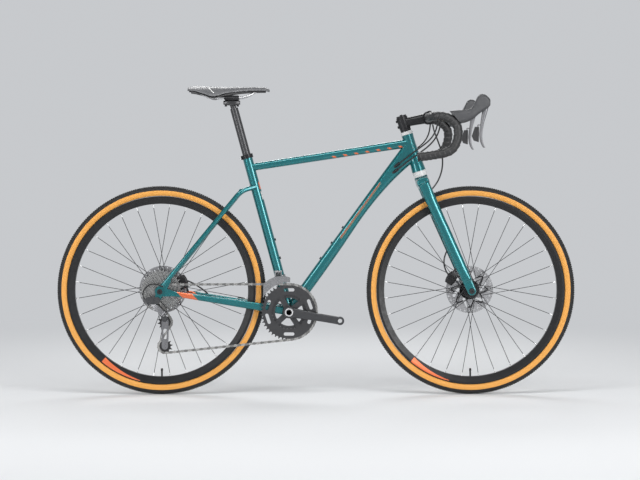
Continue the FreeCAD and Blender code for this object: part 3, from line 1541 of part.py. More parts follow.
def toothed_disc(centre, teeth, thickness, place, phase):
    """A sprocket blank: round roller seats, straight flanks and flat tips."""
    radius = pitch_radius(teeth)
    seat = roller_radius + roller_clearance
    edges = []
    ends = []
    for i in range(teeth):
        angle = phase + 2 * math.pi * i / teeth
        outward = Vector(math.cos(angle), 0, math.sin(angle))
        along = Vector(-math.sin(angle), 0, math.cos(angle))
        roller = Vector(centre.x, place - thickness / 2, centre.z) + outward * radius
        low = roller - outward * (seat * math.cos(seat_spread)) - along * (seat * math.sin(seat_spread))
        high = roller - outward * (seat * math.cos(seat_spread)) + along * (seat * math.sin(seat_spread))
        edges.append(Part.Arc(low, roller - outward * seat, high).toShape())
        tip_angle = angle + math.pi / teeth
        tip_out = Vector(math.cos(tip_angle), 0, math.sin(tip_angle))
        tip_along = Vector(-math.sin(tip_angle), 0, math.cos(tip_angle))
        tip = Vector(centre.x, place - thickness / 2, centre.z) + tip_out * (radius + tooth_height)
        half_tip = tip_along * (tooth_tip_width / 2)
        ends.append((low, high, tip - half_tip, tip + half_tip))
    for i, (low, high, tip_first, tip_last) in enumerate(ends):
        edges.append(Part.LineSegment(high, tip_first).toShape())
        edges.append(Part.LineSegment(tip_first, tip_last).toShape())
        edges.append(Part.LineSegment(tip_last, ends[(i + 1) % teeth][0]).toShape())
    outline = Part.Wire(Part.__sortEdges__(edges))
    return Part.Face(outline).extrude(ACROSS * thickness)


def tension_centre(swing):
    """The tension pulley's centre with the cage swung forward by an angle."""
    reach = Vector(guide_centre - cage_pivot) - UPRIGHT * cage_length
    return Vector(cage_pivot.x + reach.x * math.cos(swing) - reach.z * math.sin(swing), guide_centre.y,
                  cage_pivot.z + reach.x * math.sin(swing) + reach.z * math.cos(swing))


def guide_at(swing):
    reach = Vector(guide_centre - cage_pivot)
    return Vector(cage_pivot.x - reach.z * math.sin(swing), guide_centre.y,
                  cage_pivot.z + reach.z * math.cos(swing))


def chain_wheels(swing):
    """Centre, teeth, sense of travel and lateral place of each wheel in the chain's order."""
    return [(bracket, outer_teeth, 1, -chain_line_outer),
            (rear_axle, sprocket_teeth[0], 1, -small_sprocket_place),
            (guide_at(swing), pulley_teeth, -1, -small_sprocket_place),
            (tension_centre(swing), pulley_teeth, 1, -small_sprocket_place)]


def chain_legs(swing):
    """The chain's path as arcs and straight runs, each with its length in pitches."""
    wheels = chain_wheels(swing)
    headings = []
    for i, (centre, teeth, sense, _) in enumerate(wheels):
        other, other_teeth, other_sense, _ = wheels[(i + 1) % len(wheels)]
        span_x, span_z = other.x - centre.x, other.z - centre.z
        step = sense * pitch_radius(teeth) - other_sense * pitch_radius(other_teeth)
        headings.append(math.atan2(span_z, span_x) + math.asin(step / math.hypot(span_x, span_z)))
    legs = []
    for i, (centre, teeth, sense, place) in enumerate(wheels):
        other, other_teeth, other_sense, other_place = wheels[(i + 1) % len(wheels)]
        radius = pitch_radius(teeth)
        turn = (headings[i] - headings[i - 1]) * sense % (2 * math.pi)
        start_angle = headings[i - 1] - sense * math.pi / 2
        legs.append(("arc", turn * teeth / (2 * math.pi), centre, radius, start_angle, sense * turn, place))
        heading = headings[i]
        leave = polar(centre, heading - sense * math.pi / 2, radius, place)
        arrive = polar(other, heading - other_sense * math.pi / 2, pitch_radius(other_teeth), other_place)
        run = math.hypot(arrive.x - leave.x, arrive.z - leave.z)
        legs.append(("run", run / pitch, leave, arrive))
    return legs


def cage_swing():
    """The cage angle at which the chain closes on a whole, even number of links."""
    def pitches(swing):
        return sum(leg[1] for leg in chain_legs(swing))

    target = 2 * round(pitches(0) / 2)
    low, high = -swing_limit, swing_limit
    for _ in range(swing_steps):
        middle = (low + high) / 2
        if (pitches(middle) - target) * (pitches(low) - target) <= 0:
            high = middle
        else:
            low = middle
    return (low + high) / 2, target


rest_swing, link_count = cage_swing()
guide_place = guide_at(rest_swing)
tension_place = tension_centre(rest_swing)


def chain_pins():
    """Every pin of the chain, one pitch apart along the path."""
    legs = chain_legs(rest_swing)
    pins = []
    for i in range(link_count):
        left = float(i)
        for leg in legs:
            if left < leg[1]:
                break
            left -= leg[1]
        share = left / leg[1]
        if leg[0] == "arc":
            _, _, centre, radius, start, turn, place = leg
            pins.append(polar(centre, start + turn * share, radius, place))
        else:
            _, _, leave, arrive = leg
            ease = share * share * (3 - 2 * share)
            point = leave + (arrive - leave) * share
            pins.append(Vector(point.x, leave.y + (arrive.y - leave.y) * ease, point.z))
    return pins


def wheel_phase(order):
    """The angle of a roller seat on one of the chain's wheels."""
    legs = chain_legs(rest_swing)
    before = sum(leg[1] for leg in legs[:2 * order])
    _, length, _, _, start, turn, _ = legs[2 * order]
    return start + turn * (math.ceil(before) - before) / length


def link_plate(low, high, hole_radius):
    """One waisted plate of a chain link between two heights."""
    radius = chain_plate_radius
    bend = radius * chain_plate_bend_share
    rise = math.sqrt(radius ** 2 - (radius - bend) ** 2)
    first, second = radius - bend, pitch - radius + bend
    corners = [Vector(first, low, rise), Vector(second, low, rise), Vector(second, low, -rise),
               Vector(first, low, -rise)]
    middles = [Vector(pitch / 2, low, chain_waist), Vector(pitch + radius, low, 0),
               Vector(pitch / 2, low, -chain_waist), Vector(-radius, low, 0)]
    edges = [Part.Arc(corners[i], middles[i], corners[(i + 1) % len(corners)]).toShape()
             for i in range(len(corners))]
    plate = Part.Face(Part.Wire(edges)).extrude(ACROSS * (high - low))
    if hole_radius:
        holes = [rod(Vector(x, low, 0), Vector(x, high, 0), hole_radius) for x in (0, pitch)]
        plate = plate.cut(Part.makeCompound(holes))
    return plate


def chain():
    """Outer and inner links in turn, pinned through each other's rollers."""
    inner_face = chain_inner_width / 2
    outer_face = inner_face + chain_plate + chain_plate_gap
    bore = chain_pin_radius + roller_clearance
    ends = (0, pitch)
    outer_end = outer_face + chain_plate
    pins = [rod(Vector(x, -outer_end, 0), Vector(x, outer_end, 0), chain_pin_radius) for x in ends]
    outer = fuse(pins + [link_plate(outer_face, outer_end, 0), link_plate(-outer_end, -outer_face, 0)])
    rollers = [pipe(Vector(x, -inner_face, 0), Vector(x, inner_face, 0), roller_radius, bore) for x in ends]
    inner = fuse(rollers + [link_plate(inner_face, inner_face + chain_plate, bore),
                            link_plate(-inner_face - chain_plate, -inner_face, bore)])
    links = []
    places = chain_pins()
    for i, here in enumerate(places):
        after = places[(i + 1) % len(places)]
        along = Vector(after - here)
        slack = (along.Length - pitch) / 2
        along.normalize()
        up = along.cross(ACROSS).normalize()
        side = up.cross(along)
        start = here + along * slack
        frame = FreeCAD.Matrix(along.x, side.x, up.x, start.x, along.y, side.y, up.y, start.y,
                               along.z, side.z, up.z, start.z, 0, 0, 0, 1)
        link = (outer if i % 2 else inner).copy()
        link.Placement = FreeCAD.Placement(frame)
        links.append(link)
    return links


def sprocket(index, phase):
    """One cog of the cassette, with windows where it is large enough."""
    teeth = sprocket_teeth[index]
    place = sprocket_places[index]
    disc = toothed_disc(rear_axle, teeth, sprocket_thickness, place, phase)
    low, high = place - sprocket_thickness, place + sprocket_thickness
    disc = disc.cut(across_rod(rear_axle, low, high, freehub_radius + fixed_clearance))
    if teeth >= sprocket_window_teeth:
        window = across_ring(rear_axle, low, high, pitch_radius(teeth) - sprocket_rim, spacer_ring_radius)
        arms = []
        for i in range(sprocket_window_count):
            angle = 2 * math.pi * i / sprocket_window_count + index * math.pi / len(sprocket_teeth)
            outward = Vector(math.cos(angle), 0, math.sin(angle))
            along = Vector(-math.sin(angle), 0, math.cos(angle))
            length = pitch_radius(teeth)
            arms.append(block(at_side(rear_axle, place) + outward * (length / 2), outward, along, ACROSS,
                              (length, sprocket_spoke_width, 4 * sprocket_thickness)))
        disc = disc.cut(window.cut(Part.makeCompound(arms)))
    return disc


def cassette():
    """Freehub body, eleven cogs, the spacers between them and the lockring."""
    pieces = []
    first = wheel_phase(1)
    for i in range(len(sprocket_teeth)):
        pieces.append(sprocket(i, first))
    for i in range(len(sprocket_teeth) - 1):
        pieces.append(across_ring(rear_axle, sprocket_places[i] + sprocket_thickness / 2,
                                  sprocket_places[i + 1] - sprocket_thickness / 2, spacer_ring_radius,
                                  freehub_radius + fixed_clearance))
    body_end = sprocket_places[0] - sprocket_thickness / 2 - freehub_overhang
    body = across_ring(rear_axle, body_end, -rear_hub_right - side_clearance, freehub_radius,
                       axle_radius + running_clearance)
    ring = across_ring(rear_axle, body_end - lock_ring_height, body_end, lock_ring_radius,
                       end_cap_radius + side_clearance)
    return pieces + [body, ring]


# Crankset

def crank_arm(outward, side, inner_place):
    """A tapered arm from the spindle to the pedal hole, on one side of the bike."""
    along = Vector(math.cos(outward), 0, math.sin(outward))
    up = Vector(-math.sin(outward), 0, math.cos(outward))
    root = arm_hub_outer - arm_thickness / 2
    tip = (arm_end_inner + arm_end_outer) / 2
    sections = []
    for share, wide in zip(arm_station_shares, arm_width_shares):
        place = root + (tip - root) * share
        centre = at_side(bracket + along * (crank_length * share), side * place)
        sections.append(round_section(centre, up, ACROSS, arm_width * wide, arm_thickness,
                                      arm_round_share * arm_thickness))
    end = bracket + along * crank_length
    boss = across_rod(end, side * arm_end_inner, side * arm_end_outer, arm_end_radius)
    hub = across_rod(bracket, side * inner_place, side * arm_hub_outer, arm_hub_radius)
    hole = across_rod(end, side * (arm_end_inner - arm_thickness), side * (arm_end_outer + arm_thickness),
                      pedal_hole_radius)
    seat = across_rod(bracket, 0, side * arm_hub_outer * 2, spindle_radius + fixed_clearance)
    return fuse([loft(sections), boss, hub]).cut(hole).cut(seat)


def spider():
    """Four arms on a boss behind the right crank arm, drilled for the ring bolts."""
    inner = -chain_line_inner - ring_thickness / 2
    outer = -chain_line_outer + ring_thickness / 2
    pieces = [across_rod(bracket, -arm_inner_place, -spider_boss_outer, arm_hub_radius)]
    holes = [across_rod(bracket, 0, -arm_hub_outer, spindle_radius + fixed_clearance)]
    for angle in spider_angles:
        foot = polar(bracket, crank_angle + angle, arm_hub_radius / 2, outer)
        end = polar(bracket, crank_angle + angle, outer_bolt_circle, outer)
        pieces.append(capsule(foot, end, spider_arm_width / 2, ring_tab_radius, ACROSS * (inner - outer)))
        holes.append(across_rod(end, inner + cut_overrun, outer - cut_overrun,
                                ring_bolt_radius + fixed_clearance))
    return fuse(pieces).cut(Part.makeCompound(holes))


def crank_right():
    """Arm, spider and spindle, pressed together."""
    spindle = across_ring(bracket, -arm_hub_outer, arm_hub_outer, spindle_radius, spindle_bore_radius)
    cap = across_ring(bracket, -arm_hub_outer - crank_cap_height, -arm_hub_outer, crank_cap_radius,
                      spindle_bore_radius)
    arm = crank_arm(crank_angle, -1, spider_boss_outer)
    return [arm, spider().cut(arm), spindle, cap.cut(arm)]


def crank_left():
    """The other arm, clamped on the spindle's end."""
    cap = across_rod(bracket, arm_hub_outer, arm_hub_outer + crank_cap_height, crank_cap_radius)
    arm = crank_arm(crank_angle + math.pi, 1, arm_inner_place)
    return [arm, cap.cut(arm)]


def ring_with_tabs(teeth, place, bore, bolt_circle, phase):
    """A chainring: toothed rim with a tab at each spider arm."""
    disc = toothed_disc(bracket, teeth, ring_thickness, place, phase)
    low, high = place - ring_thickness, place + ring_thickness
    hole = across_rod(bracket, low, high, bore)
    tabs = []
    bolt_holes = []
    for angle in spider_angles:
        turn = crank_angle + angle
        root = polar(bracket, turn, bore + ring_tab_radius, place - ring_thickness / 2)
        tip = polar(bracket, turn, bolt_circle, place - ring_thickness / 2)
        tabs.append(capsule(root, tip, ring_tab_radius * ring_tab_root_share, ring_tab_radius,
                            ACROSS * ring_thickness))
        bolt_holes.append(across_rod(tip, low, high, ring_bolt_radius + fixed_clearance))
    return fuse([disc.cut(hole)] + tabs).cut(Part.makeCompound(bolt_holes))


def chainring_outer():
    """The large ring with its ring of windows, and the four bolts that hold it."""
    ring = ring_with_tabs(outer_teeth, -chain_line_outer, outer_ring_bore, outer_bolt_circle, wheel_phase(0))
    windows = []
    start = -chain_line_outer - ring_thickness
    for angle in ring_window_angles:
        first = polar(bracket, angle - ring_window_half_turn, ring_window_circle, start)
        second = polar(bracket, angle + ring_window_half_turn, ring_window_circle, start)
        windows.append(capsule(first, second, ring_window_radius, ring_window_radius,
                               ACROSS * (2 * ring_thickness)))
    bolts = []
    outer_face = -chain_line_outer - ring_thickness / 2
    inner_face = -chain_line_inner - ring_thickness / 2
    for angle in spider_angles:
        centre = polar(bracket, crank_angle + angle, outer_bolt_circle, 0)
        bolts.append(fuse([across_rod(centre, outer_face, inner_face, ring_bolt_radius),
                           across_rod(centre, outer_face - ring_bolt_proud, outer_face, ring_bolt_head)]))
    return [ring.cut(Part.makeCompound(windows))] + bolts


def chainring_inner():
    """The small ring on four posts of its own behind the spider."""
    ring = ring_with_tabs(inner_teeth, -chain_line_inner, inner_ring_bore, inner_bolt_circle, 0)
    bolts = []
    for angle in spider_angles:
        centre = polar(bracket, crank_angle + angle, inner_bolt_circle, 0)
        face = -chain_line_inner + ring_thickness / 2
        bolts.append(fuse([across_rod(centre, face - ring_thickness, face, ring_bolt_radius),
                           across_rod(centre, face, face + ring_bolt_proud, ring_bolt_head)]))
    return [ring] + bolts


# Rear derailleur

def link_pivots(side):
    """Root and tip of the outer (minus) or inner (plus) link of the derailleur's parallelogram."""
    shift = ACROSS * (side * link_half_gap)
    return link_root + shift, link_tip + shift


def derailleur_link(side, bulge):
    """A link with a barrel at each end and a plate between them."""
    root, tip = link_pivots(side)
    half = link_axis * (link_barrel_length / 2)
    along = Vector(tip - root).normalize()
    outward = link_axis.cross(along)
    if outward.y > 0:
        outward = outward * -1
    barrels = [rod(end - half, end + half, link_barrel_radius) for end in (root, tip)]
    sections = []
    for share, wide, out in zip(link_station_shares, link_width_shares, link_bulge_shares):
        centre = root + (tip - root) * share + outward * (bulge * out)
        sections.append(round_section(centre, link_axis, outward, link_plate_width * wide,
                                      link_plate_thickness, link_plate_thickness / 3))
    body = fuse([loft(sections)] + barrels)
    for end in (root, tip):
        body = body.cut(rod(end - half * 2, end + half * 2, link_pin_radius + running_clearance))
    return body


def knuckle_ears(middle, away):
    """Two ears and their pins round a pair of link barrels, tied by a web on the side away from the links."""
    pieces = []
    half = link_barrel_length / 2 + ear_gap
    for side in (-1, 1):
        start = middle + link_axis * (side * half)
        first = start - ACROSS * link_half_gap
        second = start + ACROSS * link_half_gap
        pieces.append(capsule(first, second, ear_radius, ear_radius, link_axis * (side * ear_thickness)))
        web_centre = start + away * (web_offset / 2) + link_axis * (side * ear_thickness / 2)
        pieces.append(block(web_centre, away, ACROSS, link_axis,
                            (web_offset + web_thickness, 2 * link_half_gap + ear_radius, ear_thickness)))
    pieces.append(block(middle + away * web_offset, away, ACROSS, link_axis,
                        (web_thickness, 2 * link_half_gap + ear_radius, 2 * (half + ear_thickness))))
    for side in (-1, 1):
        centre = middle + ACROSS * (side * link_half_gap)
        reach = link_axis * (half + ear_thickness)
        pieces.append(rod(centre - reach, centre + reach, link_pin_radius))
    return pieces


def b_knuckle():
    """The part bolted to the hanger, which carries both links' roots and the cable adjuster."""
    away = Vector(-link_reach, 0, link_fall).normalize()
    pieces = knuckle_ears(link_root, away)
    hanger_face = -rear_half_spacing - dropout_thickness - hanger_thickness - side_clearance / 4
    boss = across_rod(hanger_bolt, hanger_face, -b_boss_outer, b_boss_radius)
    half = link_barrel_length / 2 + ear_gap
    plate_start = Vector(link_root.x, hanger_face - web_thickness, link_root.z) + away * web_offset
    arm = capsule(at_side(hanger_bolt, plate_start.y), plate_start, b_boss_radius, half + ear_thickness / 2,
                  ACROSS * -web_thickness)
    tie_low = link_root + away * web_offset
    tie_centre = at_side(tie_low, (tie_low.y + plate_start.y - web_thickness) / 2)
    tie_width = abs(plate_start.y - tie_low.y) + web_thickness
    tie = block(tie_centre, away, ACROSS, link_axis, (web_thickness, tie_width, 2 * (half + ear_thickness)))
    stub = across_rod(hanger_bolt, hanger_face + hanger_thickness, hanger_face, hanger_bolt_radius)
    head = across_rod(hanger_bolt, -b_boss_outer, -b_boss_outer - web_thickness / 2, b_bolt_head)
    end = Vector(*rear_housing_route[-1])
    heading = Vector(*rear_housing_route[-1]) - Vector(*rear_housing_route[-2])
    heading.normalize()
    adjuster = rod(end, end + heading * barrel_adjuster_length, barrel_adjuster_radius)
    return [fuse(pieces + [boss, arm, tie, stub, head]), adjuster]


def p_knuckle():
    """The lower knuckle: ears for the links' tips and a barrel for the cage pivot."""
    away = Vector(link_reach, 0, -link_fall).normalize()
    pieces = knuckle_ears(link_tip, away)
    barrel = across_rod(cage_pivot, -knuckle_start, -knuckle_end, knuckle_radius)
    bore = across_rod(cage_pivot, -knuckle_start + cut_overrun, -knuckle_end + web_thickness,
                      cage_pivot_radius + running_clearance)
    cap = across_rod(cage_pivot, -knuckle_end, -knuckle_end - web_thickness / 2, cage_pivot_radius)
    return fuse(pieces + [barrel, cap]).cut(bore)


def cage():
    """Two plates round the pulleys, the pulley bolts and the pivot that turns in the lower knuckle."""
    plates = []
    half = cage_gap / 2
    for start, depth in ((guide_place.y - half, -cage_plate), (guide_place.y + half, cage_plate)):
        plates.append(capsule(at_side(guide_place, start), at_side(tension_place, start), cage_plate_radius,
                              cage_plate_radius * cage_low_share, ACROSS * depth))
    outer = guide_place.y - half
    neck = capsule(at_side(guide_place, outer), at_side(cage_pivot, outer), cage_plate_radius, knuckle_radius,
                   ACROSS * -cage_plate)
    pivot = across_rod(cage_pivot, outer - cage_plate / 2, -knuckle_end + web_thickness + side_clearance,
                       cage_pivot_radius)
    window_top, window_low = [at_side(guide_place + (tension_place - guide_place) * share, outer - cage_gap)
                              for share in cage_window_shares]
    top_radius, low_radius = [cage_plate_radius * share for share in cage_window_radius_shares]
    window = capsule(window_top, window_low, top_radius, low_radius, ACROSS * (4 * cage_gap))
    bolts = []
    for centre in (guide_place, tension_place):
        low, high = centre.y - half - cage_plate, centre.y + half + cage_plate
        bolts.append(across_rod(centre, low, high, pulley_bolt_radius))
        bolts.append(across_rod(centre, high, high + pulley_bolt_height, pulley_bolt_head))
    return fuse([plate.cut(window) for plate in plates] + [neck.cut(window), pivot] + bolts)


def pulley(centre, phase):
    """A jockey wheel with its hub between the cage plates."""
    disc = toothed_disc(centre, pulley_teeth, pulley_thickness, centre.y, phase)
    half = cage_gap / 2 - side_clearance
    hub = across_rod(centre, centre.y - half, centre.y + half, pulley_hub_radius)
    bore = across_rod(centre, centre.y - cage_gap, centre.y + cage_gap,
                      pulley_bolt_radius + running_clearance)
    return fuse([disc, hub]).cut(bore)


# Front derailleur

def fd_body():
    """A band round the seat tube, and the arm that carries the link's pin."""
    centre = on_seat(band_place)
    low, high = centre - seat_direction * (band_height / 2), centre + seat_direction * (band_height / 2)
    band = pipe(low, high, seat_tube_radius + band_wall, seat_tube_radius + fixed_clearance)
    ears = []
    half = fd_link_width / 2 + ear_gap
    for side in (-1, 1):
        start = fd_pivot + FORWARD * (side * half)
        root = Vector(start.x, -seat_tube_radius - fd_ear_thickness, centre.z)
        ears.append(capsule(start, root, fd_barrel_radius, fd_body_depth / 2,
                            FORWARD * (side * fd_ear_thickness)))
    bridge_place = -seat_tube_radius - fd_ear_thickness / 2
    bridge = block(Vector(fd_pivot.x, bridge_place, centre.z), FORWARD, ACROSS, UPRIGHT,
                   (2 * (half + fd_ear_thickness), fd_ear_thickness * 2, fd_body_depth))
    pin = rod(fd_pivot - FORWARD * (half + fd_ear_thickness), fd_pivot + FORWARD * (half + fd_ear_thickness),
              fd_pin_radius)
    tube = rod(bracket, on_seat(seat_tube_length), seat_tube_radius + fixed_clearance)
    return fuse([band, bridge, pin] + ears).cut(tube)


def fd_link():
    half = FORWARD * (fd_link_width / 2)
    body = capsule(fd_pivot - half, fd_tip - half, fd_barrel_radius, fd_barrel_radius, half * 2)
    for end in (fd_pivot, fd_tip):
        body = body.cut(rod(end - half * 2, end + half * 2, fd_pin_radius + running_clearance))
    return body


def fd_cage_plate(place):
    """One cage plate: its lower edge follows the chainring, its upper edge the chain."""
    low = pitch_radius(outer_teeth) + tooth_height + fd_tooth_gap
    high = low + fd_cage_height
    middle = (fd_cage_start + fd_cage_end) / 2
    first, last = polar(bracket, fd_cage_start, low, place), polar(bracket, fd_cage_end, low, place)
    nose = polar(bracket, fd_cage_start, high, place)
    tail = last + UPRIGHT * fd_tail_height
    shoulder = Vector((nose.x + tail.x) / 2, place, nose.z + fd_cage_height / 4)
    edges = [Part.Arc(first, polar(bracket, middle, low, place), last).toShape(),
             Part.LineSegment(last, tail).toShape(),
             Part.Arc(tail, shoulder, nose).toShape(),
             Part.LineSegment(nose, first).toShape()]
    return Part.Face(Part.Wire(edges)).extrude(ACROSS * -fd_plate)


def fd_cage():
    """Two plates joined over the chain and at the tail, hung from the link's tip."""
    inner, outer = fd_cage_plate(-fd_cage_inner + fd_plate), fd_cage_plate(-fd_cage_outer)
    low = pitch_radius(outer_teeth) + tooth_height + fd_tooth_gap
    tail = polar(bracket, fd_cage_end, low + fd_plate * 2, 0) - Vector(-fd_plate * 2, 0, 0)
    tail_pin = across_rod(tail, -fd_cage_inner, -fd_cage_outer - fd_plate, fd_plate * 1.5)
    half = fd_link_width / 2 + ear_gap
    pin = rod(fd_tip - FORWARD * (half + fd_ear_thickness), fd_tip + FORWARD * (half + fd_ear_thickness),
              fd_pin_radius)
    ears = []
    foot = bracket.z + low + fd_cage_height * fd_foot_share
    for side in (-1, 1):
        start = fd_tip + FORWARD * (side * half)
        root = Vector(start.x, -fd_cage_inner + fd_plate / 2, foot)
        ears.append(capsule(start, root, fd_barrel_radius, fd_barrel_radius,
                            FORWARD * (side * fd_ear_thickness)))
    roof_centre = Vector(fd_tip.x, -(fd_cage_inner + fd_cage_outer) / 2, bracket.z + low + fd_cage_height)
    roof = block(roof_centre, FORWARD, ACROSS, UPRIGHT,
                 (fd_arm_width, fd_cage_outer - fd_cage_inner + fd_plate, fd_plate * 1.5))
    return fuse([inner, outer, tail_pin, pin, roof] + ears)


# Cables and hoses

def outside(tube, carriers):
    """What shows of a tube that ends inside its carriers."""
    for carrier in carriers:
        tube = tube.cut(carrier)
    return max(tube.Solids, key=lambda solid: solid.Volume)


def frame_routes():
    """The routes that end inside the down tube, with their radii."""
    return ((right_shift_route, housing_radius), (left_shift_route, housing_radius),
            (right_hose_route, hose_radius))


def front_brake_hose():
    """From the bar into the left fork leg, and from the leg to the caliper."""
    leg = fork()
    brake = caliper(front_axle, front_caliper_angle, front_rotor_place, leg)
    return [outside(route_tube(front_hose_route, hose_radius), [leg]),
            outside(route_tube(front_hose_end_route, hose_radius), [leg, brake])]


def cables():
    """The three runs from the bar into the down tube, and the two short runs at the back."""
    hull = down_tube_solid(0)
    pieces = [outside(route_tube(route, radius), [hull]) for route, radius in frame_routes()]
    stays = rear_triangle()[0]
    brake = caliper(rear_axle, rear_caliper_angle, rear_rotor_place, stays)
    pieces.append(outside(route_tube(rear_hose_end_route, hose_radius), [stays, brake]))
    return pieces + [route_tube(rear_housing_route, housing_radius)]


front_hub_sizes = (front_left_flange, front_right_flange)
rear_hub_sizes = (rear_left_flange, rear_right_flange)
cassette_end = small_sprocket_place + sprocket_thickness / 2 + freehub_overhang


def all_pieces():
    """Every node's name with the function that makes its solids."""
    return {
        "main_frame": main_frame,
        "rear_triangle": rear_triangle,
        "seat_clamp": seat_clamp,
        "headset_cups": headset_cups,
        "headset_bearings": headset_bearings,
        "bottom_bracket_cups": bracket_cups,
        "frame_fittings": frame_fittings,
        "rear_thru_axle": lambda: thru_axle(rear_axle, rear_half_spacing,
                                            dropout_thickness + hanger_thickness, rear_hub_left,
                                            cassette_end),
        "rear_caliper": lambda: caliper(rear_axle, rear_caliper_angle, rear_rotor_place, rear_triangle()[0]),
        "seatpost": seat_post,
        "saddle_clamp": saddle_clamp,
        "saddle_rails": saddle_rails,
        "saddle_shell": saddle_shell,
        "saddle_cover": saddle_cover,
        "fork": fork,
        "headset_spacers": headset_spacers,
        "stem": stem,
        "stem_faceplate": stem_faceplate,
        "handlebar": handlebar,
        "bar_tape": bar_tape,
        "lever_brackets": lambda: [side for piece in lever_bracket() for side in both_sides(piece)],
        "lever_hoods": lambda: both_sides(lever_hood()),
        "front_thru_axle": lambda: thru_axle(front_axle, front_half_spacing, fork_tip_thickness,
                                             front_hub_half, front_hub_half),
        "front_caliper": lambda: caliper(front_axle, front_caliper_angle, front_rotor_place, fork()),
        "brake_lever_right": brake_lever,
        "brake_lever_left": lambda: mirrored(brake_lever()),
        "shift_lever_right": shift_lever,
        "shift_lever_left": lambda: mirrored(shift_lever()),
        "front_pad_inner": lambda: pad(front_axle, front_caliper_angle, front_rotor_place, -1),
        "front_pad_outer": lambda: pad(front_axle, front_caliper_angle, front_rotor_place, 1),
        "rear_pad_inner": lambda: pad(rear_axle, rear_caliper_angle, rear_rotor_place, -1),
        "rear_pad_outer": lambda: pad(rear_axle, rear_caliper_angle, rear_rotor_place, 1),
        "front_tyre": lambda: tyre(front_axle),
        "front_rim": lambda: rim(front_axle, *front_hub_sizes, front_hole_radius),
        "front_spokes": lambda: spokes(front_axle, *front_hub_sizes, front_hole_radius),
        "front_hub": lambda: hub_shell(front_axle, front_hub_half, front_hub_half, *front_hub_sizes,
                                       front_flange_radius, front_hole_radius),
        "front_rotor": lambda: rotor(front_axle, front_rotor_place),
        "rear_tyre": lambda: tyre(rear_axle),
        "rear_rim": lambda: rim(rear_axle, *rear_hub_sizes, rear_hole_radius),
        "rear_spokes": lambda: spokes(rear_axle, *rear_hub_sizes, rear_hole_radius),
        "rear_hub": lambda: hub_shell(rear_axle, rear_hub_left, rear_hub_right, *rear_hub_sizes,
                                      rear_flange_radius, rear_hole_radius),
        "rear_rotor": lambda: rotor(rear_axle, rear_rotor_place),
        "cassette": cassette,
        "crank_right": crank_right,
        "crank_left": crank_left,
        "chainring_outer": chainring_outer,
        "chainring_inner": chainring_inner,
        "chain": chain,
        "derailleur_b_knuckle": b_knuckle,
        "derailleur_outer_link": lambda: derailleur_link(-1, outer_link_bulge),
        "derailleur_inner_link": lambda: derailleur_link(1, 0),
        "derailleur_p_knuckle": p_knuckle,
        "derailleur_cage": cage,
        "guide_pulley": lambda: pulley(guide_place, wheel_phase(2)),
        "tension_pulley": lambda: pulley(tension_place, wheel_phase(3)),
        "front_derailleur_body": fd_body,
        "front_derailleur_link": fd_link,
        "front_derailleur_cage": fd_cage,
        "front_brake_hose": front_brake_hose,
        "cables": cables,
    }


def solids_of(made):
    shapes = made if isinstance(made, list) else [made]
    return [solid for shape in shapes for solid in shape.Solids]


def main():
    os.makedirs("parts", exist_ok=True)
    for name, make in all_pieces().items():
        solids = solids_of(make())
        shape = solids[0] if len(solids) == 1 else Part.makeCompound(solids)
        state = "valid" if shape.isValid() else "NOT VALID"
        print(name, len(solids), "solids", state, round(shape.Volume / 1000, 1), "cm3")
        shape.exportStep("parts/" + name + ".step")


if __name__ == "__main__":
    main()
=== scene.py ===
# %% [markdown]
# # A gravel bike, dressed
# The frame, wheels and drive train arrive as solids that already have their true sizes and joints.
# This lesson gives them their finishes, and makes again the pieces whose looks a plain solid can't
# hold: the rounded fork legs, the knobbly tyres, the wound bar tape, the padded saddle and the hoses.
# Everything is in metres. X points forward, Y to the rider's left and Z up.

# %% Load the solids
import bpy
import bmesh
import json
import math
from mathutils import Matrix, Vector


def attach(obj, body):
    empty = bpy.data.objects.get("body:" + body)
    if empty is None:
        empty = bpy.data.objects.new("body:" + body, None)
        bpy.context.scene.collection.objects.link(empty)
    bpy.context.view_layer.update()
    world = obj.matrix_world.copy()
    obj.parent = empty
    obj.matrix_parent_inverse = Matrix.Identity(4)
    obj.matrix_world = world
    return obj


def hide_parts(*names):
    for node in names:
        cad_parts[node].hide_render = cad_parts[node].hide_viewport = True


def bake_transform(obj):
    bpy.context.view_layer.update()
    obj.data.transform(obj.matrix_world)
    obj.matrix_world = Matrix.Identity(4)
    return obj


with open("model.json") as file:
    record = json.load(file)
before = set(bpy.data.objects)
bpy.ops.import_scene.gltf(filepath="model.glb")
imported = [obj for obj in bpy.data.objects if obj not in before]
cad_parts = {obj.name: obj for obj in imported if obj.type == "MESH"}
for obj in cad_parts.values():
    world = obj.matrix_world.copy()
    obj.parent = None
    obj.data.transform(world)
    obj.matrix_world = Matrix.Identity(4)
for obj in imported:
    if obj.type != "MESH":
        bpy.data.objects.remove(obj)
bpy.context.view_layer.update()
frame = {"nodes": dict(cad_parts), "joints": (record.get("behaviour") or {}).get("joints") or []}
joints = {joint["name"]: joint for joint in frame["joints"]}
front_axle = Vector(joints["front_wheel_spin"]["pos_m"])
rear_axle = Vector(joints["rear_wheel_spin"]["pos_m"])
wheels = (("front", front_axle), ("rear", rear_axle))
bracket = Vector(joints["crank_spin"]["pos_m"])
seat_axis = Vector(joints["seat_height"]["axis"])

# %% [markdown]
# ## The camera
# A bike is photographed square from its drive side with a long lens from far off, so that the wheels
# stay round. A long lens in Blender is a large focal length. The camera is aimed by turning its minus
# Z axis along the line of sight, which is simpler to read than three angles.

# %% Camera
camera_place = Vector((-0.02, -6.4, 0.73))
camera_target = Vector((0.013, 0.0, 0.52))
camera_lens = 107.0
camera_sensor = 36.0

